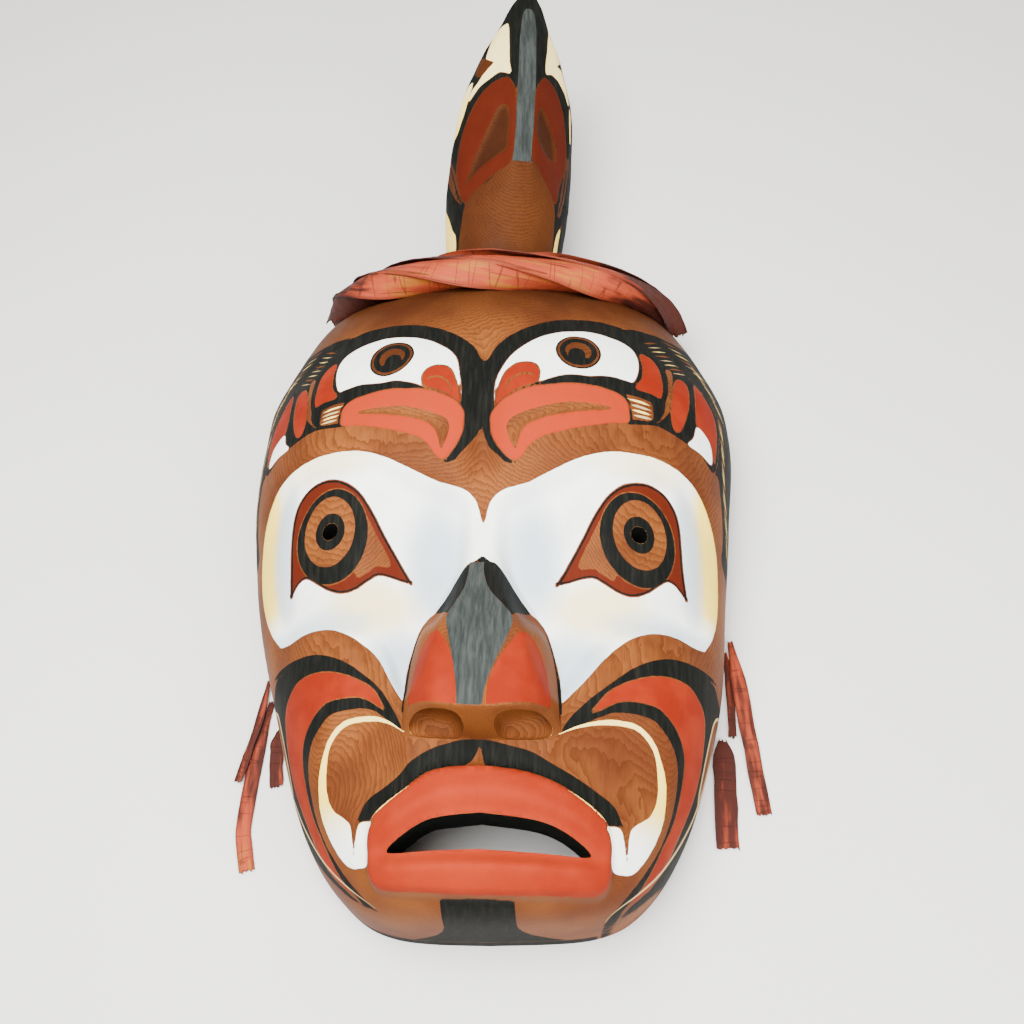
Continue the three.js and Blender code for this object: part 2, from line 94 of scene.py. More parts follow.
def smooth(t):
    """An S-shaped step from 0 at 0 to 1 at 1."""
    c = np.clip(t, 0, 1)
    return c * c * (3 - 2 * c)


def spline(points, steps, closed=False):
    """A Catmull-Rom curve through the points; a point given twice is a corner."""
    p = np.array(points, float)
    count = len(p)
    index = np.arange(count if closed else count - 1)
    wrap = (lambda i: p[i % count]) if closed else (lambda i: p[np.clip(i, 0, count - 1)])
    a, b, c, d = (wrap(index + k)[:, None, :] for k in (-1, 0, 1, 2))
    t = (np.arange(steps) / steps)[None, :, None]
    curved = (2 * a - 5 * b + 4 * c - d) * t**2 + (3 * b - a - 3 * c + d) * t**3
    curve = (0.5 * (2 * b + (c - a) * t + curved)).reshape(-1, p.shape[1])
    return curve if closed else np.vstack([curve, p[-1:]])


def closed_curve(points):
    """The closed outline through a painted shape's points."""
    return spline(points, 4, True)


def turns(count):
    """Angles at even steps round a circle."""
    return np.linspace(0, 2 * math.pi, count + 1)[:-1]


def along(stations, at):
    """A smooth curve of one value through stations of (position, value), flat where it turns."""
    x, y = np.array(stations, float).T
    step = np.diff(x)
    slope = np.diff(y) / step
    bend = np.concatenate([slope[:1], np.zeros(len(x) - 2), slope[-1:]])
    for k in range(1, len(x) - 1):
        if slope[k - 1] * slope[k] > 0:
            bend[k] = 2 / (1 / slope[k - 1] + 1 / slope[k])
    at = np.asarray(at, float)
    i = np.clip(np.searchsorted(x, at, side="left") - 1, 0, len(x) - 2)
    u = np.clip((at - x[i]) / step[i], 0, 1)
    return (
        (2 * u**3 - 3 * u**2 + 1) * y[i] + (u**3 - 2 * u**2 + u) * step[i] * bend[i]
        + (3 * u**2 - 2 * u**3) * y[i + 1] + (u**3 - u**2) * step[i] * bend[i + 1]
    )


def bump(x, y, cx, cy, rx, ry):
    """A soft round bump of height 1 inside an ellipse."""
    q = np.maximum(1 - ((x - cx) / rx) ** 2 - ((y - cy) / ry) ** 2, 0)
    return q * q * (3 - 2 * q)


FAR = 14


def inside(x, y, outline):
    """Distance to a closed outline, positive inside it; beyond FAR it is just -FAR."""
    x, y = np.broadcast_arrays(np.asarray(x, float), np.asarray(y, float))
    shape = x.shape
    x, y = x.ravel(), y.ravel()
    p = np.asarray(outline, float)
    out = np.full(len(x), -float(FAR))
    low, high = p.min(0) - FAR, p.max(0) + FAR
    near = np.flatnonzero((x > low[0]) & (x < high[0]) & (y > low[1]) & (y < high[1]))
    px, py = x[near], y[near]
    best = np.full(len(near), float(FAR) ** 2)
    within = np.zeros(len(near), bool)
    for (ax, ay), (bx, by) in zip(p, np.roll(p, -1, 0)):
        ex, ey = bx - ax, by - ay
        wx, wy = px - ax, py - ay
        t = np.clip((wx * ex + wy * ey) / (ex * ex + ey * ey + 1e-12), 0, 1)
        best = np.minimum(best, (wx - t * ex) ** 2 + (wy - t * ey) ** 2)
        if ay != by:
            within ^= ((ay <= py) != (by <= py)) & (px < ax + wy * ex / ey)
    out[near] = np.where(within, 1, -1) * np.sqrt(best)
    return out.reshape(shape)


def mirrored(half):
    """A closed outline from its right half, which starts and ends on the middle."""
    right = spline(half, 5)
    return np.vstack([right, right[-2:0:-1] * (-1, 1)])


SOCKET_OUTLINE = closed_curve(SOCKET)
LIPS_OUTLINE = mirrored(LIPS)
MOUTH_OUTLINE = mirrored(MOUTH)
NOSE_OUTLINE = mirrored([(0, 77.5), (24, 78), *[(x, y) for y, x in NOSE_SIDE], (0, 192)])

RIM_CURVE = spline(RIM, 8)
RIM_DIRECTION = np.arctan2(RIM_CURVE[:, 0], CENTRE_Y - RIM_CURVE[:, 1])
RIM_REACH = np.hypot(RIM_CURVE[:, 0], RIM_CURVE[:, 1] - CENTRE_Y)


def reach(direction):
    """Distance from the centre to the rim; direction 0 points down to the chin."""
    return np.interp(direction, RIM_DIRECTION, RIM_REACH)


def squareness(direction):
    """How square the dome's profile is: upright at the chin, rounder at the cheeks and shoulders."""
    degrees = np.degrees(direction)
    shoulder = 0.45 * np.exp(-(((degrees - 140) / 24) ** 2))
    return 2.7 + 5 * np.exp(-((degrees / 22) ** 2)) + 0.45 * smooth((degrees - 120) / 60) - shoulder


def dome(x, y):
    """Height of the plain dome under the carving."""
    direction = np.arctan2(np.abs(x), CENTRE_Y - y)
    n = squareness(direction)
    share = np.minimum(np.hypot(x, y - CENTRE_Y) / reach(direction), 1)
    return along(DOME, y) * (1 - share**n) ** (1 / n)


def nose_tip(x):
    """How high up the face the edge of the nose's tip lies."""
    return NOSE_EDGE_Y + NOSE_EDGE_RISE * np.minimum(x / NOSE_HALF_WIDTH, 1.1) ** 2


def nose_heel(x):
    """How high up the face the nose starts, over the lip."""
    return HEEL_Y + HEEL_RISE * np.minimum(x / NOSE_HALF_WIDTH, 1) ** 2


def under_nose(x, y):
    """0 at the lip, 1 at the tip's edge, on the steep underside of the nose."""
    return (y - nose_heel(x)) / (nose_tip(x) - nose_heel(x))


def nose(x, y):
    """Height of the nose over the dome: a flat ridge, flat facets and rounded wings."""
    ridge = along(NOSE_RIDGE, y)
    side = along(NOSE_SIDE, y)
    u = np.clip((x - ridge) / (side - ridge), 0, 1)
    wing = smooth((143 - y) / 18)
    slope = (1 - wing) * (1 - u) + wing * (1 - u**WING_POWER)
    return along(NOSE, np.maximum(y, NOSE[0][0])) * slope * smooth(under_nose(x, y))


def lean(x, y):
    """The carving sits a little lower on the viewer's right up to the eyes, and higher at the brow."""
    return LEAN * np.clip(x / 80, -1, 1) * (1 - 2 * smooth((y - 225) / 65))


def drift(x, y):
    """The mask is a little wider on the viewer's right, at the mouth, the outer cheek and the temple."""
    ax = np.abs(x)
    above_mouth = smooth((y - 50) / 25)
    lower = smooth((ax - 36 * above_mouth) / (45 - 21 * above_mouth)) * smooth((190 - y) / 80)
    return 4 * lower + 3 * smooth((ax - 70) / 60) * smooth((y - 230) / 60)


def carving(x, level):
    """Height of the carved forms over the dome."""
    ax = np.abs(x)
    y = level + lean(x, level)
    socket = inside(ax, y, SOCKET_OUTLINE)
    lips = inside(ax, y, LIPS_OUTLINE)
    mouth = inside(ax, y, MOUTH_OUTLINE)
    furrow = np.exp(-((ax / 9) ** 2)) * smooth((y - 205) / 25) * smooth((330 - y) / 50)
    lip = LIP_HEIGHT + LOWER_LIP_HEIGHT * smooth((30 - y) / 20)
    return (
        -SOCKET_DEPTH * (1 + smooth((75 - ax) / 60)) * smooth(socket / 10)
        + EYEBALL_HEIGHT * bump(ax, y, *EYEBALL) * smooth(socket / 6)
        + sum(height * bump(ax, y, *place) for height, *place in SWELLS)
        - FURROW_DEPTH * furrow
        + lip * smooth((lips + LIP_STEP) / (2 * LIP_STEP)) + LIP_CROWN * smooth((lips - 1) / 12)
        - MOUTH_SINK * smooth(1 + mouth / 9)
        + nose(ax, y)
    )


# Surfaces: rings of points from the centre of the face outwards, joined into triangles

RIM_OUTLINE = mirrored(RIM)
FRONT_RINGS = 176
BACK_RINGS = 60
CROWDING = 6.9
# The domes' heights, by which the rings are spaced
FRONT_HEIGHT = 112
BACK_HEIGHT = 100
# How far a ring's points are drawn towards a carved edge, so that the edge comes out clean
GATHER_REACH = 6
# Points are drawn towards the nose's tip by a share that fades over these distances across and along
DRAWN_SHARE = 0.3
DRAWN_OVER = (75, 85)
TIP_Y = 85
# Where points at a height on the face are moved to, on the middle line and at the nose's half width
MOVED_MIDDLE = [(0, 0), (30, 34), (64, 77.6), (88, 82.6), (125, 121), (200, 200), (406, 406)]
MOVED_OUTER = [(0, 0), (30, 34), (64, 78.4), (88, 91.6), (125, 121), (200, 200), (406, 406)]
# The hollows under the nose: their place across it, depth, rim, and lowest point above the dome
NOSTRIL_X = (7, 35)
NOSTRIL_Y = 80
NOSTRIL_SIDES = 48
NOSTRIL_RINGS = 33
NOSTRIL_DEPTH = 7
NOSTRIL_RIM = 5
NOSTRIL_LOW = -2
# The hollow back: how much further from the dome it lies than the wall, and its bend behind the nose
BACK_DROP = 6
NOSE_HOLLOW = (0, 105, 30, 55)
NOSE_HOLLOW_DEPTH = 14
# The gouge's marks in the back and the knife's on the front
GOUGE_DEPTH = 0.7
KNIFE_DEPTH = 0.16


def profiles(rings, height):
    """Equal steps from the top of the dome to the rim, for each of a row of directions."""
    directions = np.linspace(0, math.pi, 121)
    angle = np.radians(np.linspace(90, 0, 241))[None, :]
    n = squareness(directions)[:, None]
    norm = (np.cos(angle) ** n + np.sin(angle) ** n) ** (1 / n)
    share = np.cos(angle) / norm
    rise = np.where(angle > 0, np.sin(angle) / norm, 0)
    step = np.hypot(np.diff(share) * reach(directions)[:, None], np.diff(rise) * height)
    length = np.concatenate([np.zeros((len(directions), 1)), np.cumsum(step, 1)], 1)
    want = np.linspace(0, 1, rings + 1)
    table = [
        (np.interp(want * run[-1], run, s), np.interp(want * run[-1], run, r))
        for run, s, r in zip(length, share, rise)
    ]
    return directions, np.array(table)


def ring_lattice(rings, height):
    """For every point: direction, side, share of the reach, share of the height; and the rings' indices."""
    outline = np.vstack([RIM_OUTLINE, RIM_OUTLINE[:1]])
    run = np.concatenate([[0], np.cumsum(np.hypot(*np.diff(outline, axis=0).T))])
    directions, table = profiles(rings, height)
    rows = [np.array([[math.pi, 1.0, 0.0, 1.0]])]
    loops = [np.array([0])]
    total = 1
    for ring in range(1, rings + 1):
        count = max(6, round(CROWDING * ring**0.93))
        want = (np.arange(count) + 0.5 * (ring % 2)) / count * run[-1]
        x = np.interp(want, run, outline[:, 0])
        y = np.interp(want, run, outline[:, 1])
        direction = np.arctan2(np.abs(x), CENTRE_Y - y)
        share = np.interp(direction, directions, table[:, 0, ring])
        rise = np.interp(direction, directions, table[:, 1, ring])
        rows.append(np.stack([direction, np.where(x < 0, -1.0, 1.0), share, rise], 1))
        loops.append(np.arange(total, total + count))
        total += count
    return np.vstack(rows), loops


def zip_loops(inner, outer, inner_half, outer_half):
    """Triangles between two loops, each spaced evenly from its own half step."""
    faces = []
    i = j = 0
    count_i, count_j = len(inner), len(outer)
    while i < count_i or j < count_j:
        next_i = (i + 1 + inner_half) / count_i
        next_j = (j + 1 + outer_half) / count_j
        a, b = inner[i % count_i], outer[j % count_j]
        if j < count_j and (i >= count_i or next_j <= next_i):
            faces.append((a, b, outer[(j + 1) % count_j]))
            j += 1
        else:
            faces.append((a, b, inner[(i + 1) % count_i]))
            i += 1
    return faces


def ring_faces(loops):
    """Triangles between all the rings, and round the point in their middle."""
    first = loops[1]
    faces = [(0, first[k], first[(k + 1) % len(first)]) for k in range(len(first))]
    for ring in range(2, len(loops)):
        faces += zip_loops(loops[ring - 1], loops[ring], 0.5 * ((ring - 1) % 2), 0.5 * (ring % 2))
    return faces


def tube_faces(steps, count, turned=False):
    """Four-sided faces between rings of as many points, one ring after another."""
    faces = []
    for row in range(steps):
        for k in range(count):
            a, b = row * count + k, row * count + (k + 1) % count
            faces.append((a, a + count, b + count, b) if turned else (a, b, b + count, a + count))
    return faces


def gather(x, y, outline, amount):
    """Draws points towards an outline, more of them close to it."""
    edge = inside(x, y, outline)
    step = 0.25
    slope_x = (inside(x + step, y, outline) - edge) / step
    slope_y = (inside(x, y + step, outline) - edge) / step
    length = np.maximum(np.hypot(slope_x, slope_y), 0.3)
    near = np.clip(np.abs(edge) / GATHER_REACH, 0, 1)
    move = -np.sign(edge) * GATHER_REACH * near * (1 - near) ** 2 * amount
    return x + slope_x / length * move, y + slope_y / length * move


def crowd(x, y, freedom):
    """More points fall on the underside of the nose and round the mouth, where the carving is steep."""
    across, up = DRAWN_OVER
    near = DRAWN_SHARE * freedom * np.exp(-((x / across) ** 2) - ((y - TIP_Y) / up) ** 2)
    x, y = x * (1 - near), y + (TIP_Y - y) * near
    outwards = np.minimum(np.abs(x) / NOSE_HALF_WIDTH, 1) ** 2
    middle, outer = along(MOVED_MIDDLE, y), along(MOVED_OUTER, y)
    near_nose = freedom * (1 - smooth((np.abs(x) - 38) / 30))
    return x, y + (middle + (outer - middle) * outwards - y) * near_nose


def front_surface():
    """The painted front: points in space, the paint's own coordinates, and the rings."""
    lattice, loops = ring_lattice(FRONT_RINGS, FRONT_HEIGHT)
    direction, side, share, rise = lattice.T
    radius = reach(direction) * share
    x = side * np.sin(direction) * radius
    y = CENTRE_Y - np.cos(direction) * radius
    freedom = smooth((0.9 - share) / 0.3)
    x, y = crowd(x, y, freedom)
    x, y = gather(x, y, LIPS_OUTLINE, smooth((0.98 - share) / 0.06))
    x, y = gather(x, y, NOSE_OUTLINE, 0.8 * freedom)
    y = y - lean(x, y) * freedom
    on_paint = (x, y + lean(x, y))
    steep = smooth((share - 0.88) / 0.04)
    height = (1 - steep) * dome(x, y) + steep * along(DOME, y) * rise
    z = height + (carving(x, y) + relief(*on_paint)) * smooth(rise * 4)
    points = np.stack([x + drift(x, y), y, z], 1)
    return points, (*on_paint, z), loops


def nostril(side):
    """A broad hollow under the nose, as a cutter: rings across it that grow and shrink again."""
    turn = turns(NOSTRIL_SIDES)
    into = np.sign(np.cos(turn)) * np.abs(np.cos(turn)) ** 0.8
    up = np.sin(turn)
    up = np.where(up > 0, np.abs(up) ** 0.6, -(np.abs(up) ** 0.35))
    ridge, wing = NOSE_RIDGE[0][1], NOSE_SIDE[0][1]
    rings = []
    for share in np.linspace(0, 1, NOSTRIL_RINGS):
        across = NOSTRIL_X[0] + (NOSTRIL_X[1] - NOSTRIL_X[0]) * share
        size = math.sqrt(max(1 - abs(2 * share - 1) ** 4.5, 0.001))
        u = max((across - ridge) / (wing - ridge), 0)
        top = NOSE[0][1] * (1 - u**WING_POWER) - NOSTRIL_RIM
        x = side * across
        level = nose_heel(across) - lean(x, NOSTRIL_Y)
        out = nose_tip(across) - nose_heel(across)
        deep = out * 0.4 + NOSTRIL_DEPTH * size
        y = level + out * 0.5 + np.where(into > 0, into * deep, into * (out * 0.5 + 0.6) * size)
        middle, half = (top + NOSTRIL_LOW) / 2, (top - NOSTRIL_LOW) / 2
        z = dome(x, level) + middle + half * size * up
        rings.append(np.stack([np.full(NOSTRIL_SIDES, x + drift(x, NOSTRIL_Y)), y, z], 1))
    points = np.vstack(rings)
    faces = tube_faces(NOSTRIL_RINGS - 1, NOSTRIL_SIDES, side < 0)
    first, last = tuple(range(NOSTRIL_SIDES)), tuple(range(len(points) - NOSTRIL_SIDES, len(points)))
    faces += [first[::-1], last] if side > 0 else [first, last[::-1]]
    return points, faces


def back_surface():
    """The smooth hollow behind the face, with the gouge's marks."""
    lattice, loops = ring_lattice(BACK_RINGS, BACK_HEIGHT)
    direction, side, share, rise = lattice.T
    radius = (reach(direction) - RIM_WIDTH) * share
    x = side * np.sin(direction) * radius
    y = CENTRE_Y - np.cos(direction) * radius
    z = (along(DOME, y) - WALL - BACK_DROP) * rise + NOSE_HOLLOW_DEPTH * bump(x, y, *NOSE_HOLLOW)
    marks = GOUGE_DEPTH * np.sin(x / 4.2 + 1.4 * np.sin(y / 31)) * np.sin(y / 17 + np.sin(x / 23))
    return np.stack([x + drift(x, y), y, z + marks * smooth(rise * 3)], 1), loops


def relief(x, y):
    """The fine carving that only shows close up: the knife's steps along painted shapes, and its marks."""
    ax = folded(x, y)
    marks = KNIFE_DEPTH * np.sin(x / 2.3 + 2.1 * np.sin(y / 13)) * np.sin(y / 5.1 + 1.7 * np.sin(x / 9))
    steps = [
        depth * smooth((inside(ax, y, outline) + start) / width)
        for outline, depth, start, width in KNIFE_STEPS
    ]
    return marks - sum(steps)


# Painted shapes on the viewer's right half of the face; a point given twice is a corner.
# Those that meet their mirror image run on past the middle.

WHITE_SOCKET = [
    (-6, 193.5), (-6, 193.5), (0, 193.5), (2.5, 202), (5, 207), (11, 211.5), (25, 216), (38, 222),
    (54, 229), (68, 233), (81, 234.5), (92, 235), (105, 233), (117, 227), (125, 215), (129, 200),
    (129, 180), (126, 163), (121, 150), (114.5, 140), (114.5, 140), (108, 139), (98, 141), (86, 140.5),
    (76, 137), (67, 131), (57, 121), (48, 108), (39, 97), (39, 97), (36, 114), (32, 128), (25, 141),
    (16, 153), (9, 163), (5, 166), (-6, 166), (-6, 166),
]
LID = [
    (39, 164), (39, 164), (46, 175), (53, 186), (60, 199), (67, 209), (76, 215.5), (86, 218), (95, 216.5),
    (101, 211), (104, 202), (104.7, 190), (104.8, 177), (106, 165), (106, 165), (101, 168.5), (96, 169.5),
    (91, 166.5), (84, 161.5), (76, 158.8), (69, 160), (62.5, 163.5), (56, 167), (48, 166.5),
]
LENS = [
    (49.5, 172), (53.5, 181), (57.5, 188.5), (61, 195.5), (65.5, 202), (71, 207), (77.5, 210.5),
    (73, 185.5), (66, 163.5), (58, 170.5),
]
NOSE_BLACK = [
    (-6, 169), (4.5, 169), (7.5, 168), (11.5, 163.5), (17, 155.5), (24, 146), (30, 137), (34.5, 129),
    (38.5, 112), (39, 92), (38.6, 84), (38.6, 84), (-6, 84), (-6, 84),
]
# The nose's flat front, painted paler than its black sides: a painted sheen
NOSE_SHEEN = [
    (-8.8, 80), (-8.8, 80), (-9.4, 92), (-11.2, 104), (-13.8, 118), (-16, 131), (-12.5, 140.5),
    (-8.4, 150), (-6.8, 160), (-6, 168.6), (-6, 168.6), (0.4, 168.6), (0.4, 168.6), (1, 160), (4, 150),
    (10.5, 140.5), (16, 131), (13, 118), (8, 105), (4, 93), (2, 80), (2, 80),
]
WING_BARE = [
    (14.5, 129), (19.5, 140), (24.5, 144.5), (29, 142), (33, 135), (36.3, 122), (37.8, 108), (38, 90),
    (38, 72), (38, 72), (-6, 72), (-6, 72), (-6, 112), (-6, 112), (3, 116), (9, 122),
]
WING_RED = [
    (16, 117.5), (19.5, 123), (24.5, 124), (28.5, 119.5), (31.5, 112), (33.3, 103), (34.3, 92),
    (34.6, 80), (34.6, 80), (9, 80), (9, 80), (9.5, 92), (11, 103), (13.5, 112),
]
MUSTACHE = [
    (-6, 79), (-6, 79), (8, 78.3), (15, 76.8), (26, 72.7), (38, 65), (50, 57.5), (59.5, 51), (63, 43.5),
    (64.5, 39), (64.5, 39), (55.5, 41), (47, 48), (37, 53), (23.5, 59.5), (8, 64), (8, 64), (4, 67.5),
    (1.5, 71.5), (0, 75), (-6, 75),
]
CREAM = [
    (37.5, 82), (37.5, 82), (47, 88), (58.5, 92), (70, 92), (78, 87.5), (83.5, 79.5), (86.5, 68.5),
    (86.5, 59), (85, 49.5), (81, 39.5), (74.5, 29), (67.5, 22), (59.5, 21), (57, 24), (57.5, 31),
    (56.5, 36), (54, 40), (54, 40), (61, 41), (63.5, 37.5), (65, 27), (65, 27), (66.5, 39), (70, 43.5),
    (77.5, 49.5), (81.5, 59), (82, 70), (80.5, 80.5), (75.5, 87), (70, 90), (58.5, 90.3), (47, 87),
]
CHEEK_BLACK = [
    (37.5, 82), (37.5, 82), (42.5, 91), (54, 104.5), (71.5, 119.5), (88, 127.5), (102, 129.5),
    (116.5, 129.5), (124, 128), (131, 128), (131.5, 122), (127.5, 110), (123, 93), (113.5, 71.5),
    (105.5, 55), (95.5, 38), (84, 24), (71, 12.5), (60, 6.5), (52.5, 4), (52.5, 4), (60, 9), (71, 20.5),
    (81, 34.5), (87.5, 48), (91.5, 61.5), (93, 73), (91.5, 82), (87.5, 88.5), (81.5, 94), (72.5, 96),
    (62, 96), (53.5, 92), (42.5, 84.5),
]
CHEEK_RED = [
    (50.5, 94), (50.5, 94), (59, 105.5), (71, 113), (87, 118), (101, 117.5), (108, 112), (111, 106.5),
    (111, 98.5), (108.5, 82.5), (103, 65), (94, 46), (86.5, 32), (77, 20), (62.5, 8), (62.5, 8), (74, 20),
    (84, 37), (91.5, 52.5), (96, 69), (97.5, 80), (96, 88), (91.5, 95.5), (84.5, 101), (76, 102),
    (64.5, 101.5), (54.5, 96),
]
CHEEK_LOOP = [
    (120, 111.5), (127, 118), (123.5, 101.5), (116.5, 80.5), (111, 66.5), (107.5, 68.5), (111, 83.5),
    (116, 101),
]
CHEEK_TRIANGLE = [(113.5, 126.5), (113.5, 126.5), (119.5, 126), (124, 121), (130, 128), (130, 128)]
# Half width of the chin's patch against height, and the height of the black edge below it
CHIN = [(10, 44), (22, 33), (34, 25), (46, 20.5), (58, 18.5), (130, 17.5)]
CHIN_EDGE = 13
BROW_BLACK = [
    (15.5, 224), (15.5, 224), (8, 226), (0, 228), (-12, 228), (-12, 290), (0, 293), (6.5, 304),
    (16, 313.5), (27, 321.5), (40, 327.5), (52.5, 330.5), (66.5, 331.5), (79, 330), (89.5, 325),
    (99, 317.5), (109.5, 312.5), (115.5, 306), (122.5, 297), (130.5, 292), (134.5, 280), (133.5, 265),
    (132, 251.5), (128.5, 244), (120.5, 248), (112.5, 249.5), (96, 253), (85, 251.5), (80, 250.5),
    (69.5, 249), (56, 245.5), (42.5, 241.5), (32, 238), (25, 233), (20, 226),
]
BROW_WEDGE = [
    (-1.3, 247), (-1.3, 247), (-4, 241), (-8, 235), (-12.7, 228.5), (-18, 222), (-18, 222), (14, 222),
    (14, 222), (8.4, 228.5), (2.9, 235), (0.5, 241),
]
BROW_WHITE = [
    (6, 259), (5.5, 267.5), (6.5, 276.5), (10.5, 286), (16, 294.5), (25.5, 304.5), (36.5, 312), (48, 316),
    (60, 317.5), (71.5, 315.5), (81, 312), (86, 305), (87, 294), (85, 283.5), (82.5, 279), (79, 279.5),
    (69.5, 280.5), (58, 278.5), (47, 278), (37, 275), (29.5, 271.5), (30, 275.5), (30.5, 280.5),
    (28, 284), (23.5, 286), (18, 285.5), (12.5, 281.5), (9.5, 276.5), (8, 270), (6.5, 260.5),
]
BEAK = [
    (3.5, 249.5), (4, 255), (8, 260), (13.5, 263.5), (20.5, 267), (29, 269.5), (39, 271), (49, 272.5),
    (59.5, 272.5), (69.5, 271), (75.5, 268.5), (79, 264), (79.5, 258), (78.5, 251.5), (69.5, 249.5),
    (56, 246), (42.5, 242), (32, 238.5), (25, 233.5), (21.5, 228.5), (18, 225.5), (18, 225.5), (14, 227),
    (9, 232.5), (4.5, 241.5),
]
SLOT = [
    (13, 246.5), (16, 250), (25, 254), (36, 257.5), (46.5, 260), (57.5, 260.5), (67, 260), (70.5, 259),
    (70.5, 259), (64.5, 257.5), (55.5, 256), (45, 253.5), (34, 250.5), (25, 246.5), (20.5, 242),
    (18.5, 236.5), (17.5, 231.5), (17.5, 231.5), (15, 236), (13, 242),
]
CURL = [
    (6.5, 260.5), (8, 270), (11.5, 279.5), (17, 285), (23.5, 286.5), (28.5, 284.5), (30.5, 279.5),
    (29.5, 273), (27, 271), (19, 268), (11.5, 263.5),
]
SIDE = [
    (79, 329.5), (79, 329.5), (89, 332.5), (99.5, 335), (110, 337), (121, 342), (160, 362), (160, 362),
    (160, 190), (160, 190), (134.5, 196), (134.5, 212), (134.5, 228), (133, 244), (130, 246), (125, 262),
    (115, 285), (95, 315),
]
CURL_STREAK = [(11.5, 265.5), (13.5, 273), (19, 277.5), (25, 278), (28, 275.5)]
BROW_RED = [
    (88.5, 306.5), (94, 306), (98, 299), (99, 289), (98.5, 273.5), (92, 274), (84, 275.5), (88, 284.5),
    (89, 295.5),
]
HATCH_BOX = [
    (78.5, 269.5), (78.5, 269.5), (85.5, 269), (92, 267.5), (92, 267.5), (92.5, 263.5), (92, 256.5),
    (87, 255), (81.5, 254.5), (81.5, 254.5), (81, 261), (80, 266.5),
]
HATCHES = [
    [(79.5, 267), (91, 265.5)],
    [(80.5, 263.3), (91.5, 262.3)],
    [(81.3, 260), (91.5, 259.5)],
    [(82, 256.8), (91.5, 257)],
]
BROW_GAP = [(102.5, 299), (106, 298.5), (103, 274), (101, 263.5), (94, 254.5), (99, 262), (100.5, 273)]
BROW_OVAL = [
    (109, 295), (114, 294.5), (114.5, 281), (112.5, 268), (108.5, 256), (104.5, 255), (103, 263),
    (104, 275), (106, 286.5),
]
OUTER_RED = [
    (119.5, 298.5), (123, 295.5), (129.5, 285.5), (132, 274.5), (131.5, 261), (130, 251), (128, 257.5),
    (125, 262), (118.5, 265), (118, 271.5), (118.5, 284),
]
OUTER_WHITE = [
    (118.5, 264.5), (125, 262), (128, 257.5), (128, 248), (120.5, 249), (112.5, 250), (116, 256),
]
ARCH_LINE = [(89.5, 323), (96.5, 316), (100, 304), (101.5, 291.5), (100.5, 278), (98.5, 270)]
LIP_LINE = [(55.5, 41.5), (50.5, 46), (44, 51), (37, 55)]
CRESCENT_ARM = [
    (38, 82.3), (47, 87.6), (58.5, 91.2), (70, 91), (77, 87.3), (82, 80), (84.2, 69.3), (84, 59),
]
JAW_LINE = [
    (56, 6), (70, 15.5), (83, 27.5), (94, 42), (103.5, 58), (110.5, 74), (116.5, 92), (119.5, 104),
]
NOSE_EDGE = [(38.3, 84), (38, 100), (37.5, 112), (35.5, 126), (32, 137)]

# Round painted shapes, as middle x and y and half spans
EYE_BLACK = (81.3, 188, 20.5, 25.2)
EYE_BARE = (82.5, 190.3, 14.3, 18.4)
EYE_PUPIL = (EYE_X, EYE_Y, 8.6, 10.2)
BIRD_EYE = (52.8, 297)
BIRD_EYE_BARE = (12.2, 13.5)
BIRD_EYE_BLACK = (10.8, 11.9)
BIRD_EYE_LINE = (12.4, 13.7)
BIRD_ARC = (52.7, 297, 7.2, 7.6)
BIRD_ARC_HOLLOW = (51.8, 294.3, 5, 5.2)
BIRD_ARC_LOW = 292

# Rows of slanted strokes on the crown's shoulders: where a row starts and ends, and how its strokes lie
STROKE_ROWS = [
    {"start": (92, 321), "end": (107, 300), "count": 8, "reach": (8, 6), "width": 1.4},
    {"start": (104, 332), "end": (121, 316), "count": 6, "reach": (10, 2), "width": 1.5},
    {"start": (119, 326), "end": (133, 297), "count": 9, "reach": (7, -8), "width": 1.4},
    {"start": (134.5, 288), "end": (138, 214), "count": 18, "reach": (2.5, -8), "width": 1.3},
]
THIN_STROKE = 0.7

LID_OUTLINE = closed_curve(LID)
SLOT_OUTLINE = closed_curve(SLOT)
# The knife's steps: outline, depth, how far outside it a step starts, and how wide it is
KNIFE_STEPS = [
    (LID_OUTLINE, 0.9, 0.6, 1.2), (SLOT_OUTLINE, 1.7, 0.5, 3),
    (closed_curve(WING_RED), 0.8, 0.6, 1.2), (closed_curve(CHEEK_LOOP), 0.5, 0.6, 1.2),
]

COLOURS = ("black", "grey_sheen", "red", "white")
TINTS = ("salmon_and_highlight", "cream", "cool_shadow", "worn_and_shaded", "shade")
LINE_COLOURS = ("bare", "black", "light", "pale")
LINE_VALUES = [f"{name}_{part}" for name in LINE_COLOURS for part in ("across", "near")]
# A line's values where it doesn't run
NO_LINE = 9.0
# How far the bird's head ends short of the middle on the left, and the nose's wing runs in on the right
BROW_SHIFT = 8.5
WING_SHIFT = 5
# Where the whites have yellowed, and where painted bluish shadow lies: how much, middle x and y, half spans
YELLOWED = [(0.6, 60, 150, 34, 20), (0.4, 84, 230, 40, 14)]
COOL_SHADOWS = [(1, 25, 176, 22, 44), (1, 46, 116, 26, 26), (0.9, 110, 188, 11, 52), (0.8, 90, 143, 40, 12)]


def folded(x, y):
    """Distance from the middle as the painted shapes have it, the same shapes serving both halves."""
    ax = np.abs(x)
    brow = smooth((y - 212) / 18) * smooth((300 - y) / 25)
    left = BROW_SHIFT * smooth(-x / 6) * np.clip(1 - ax / 85, 0, 1) ** 1.5 * brow
    right = WING_SHIFT * smooth(x / 3) * smooth((30 - ax) / 24) * smooth((122 - y) / 35)
    return ax - left + right


def ellipse(x, y, cx, cy, rx, ry):
    """Roughly the distance to an ellipse, positive inside it."""
    q = np.hypot((x - cx) / rx, (y - cy) / ry)
    return (1 - q) * min(rx, ry)


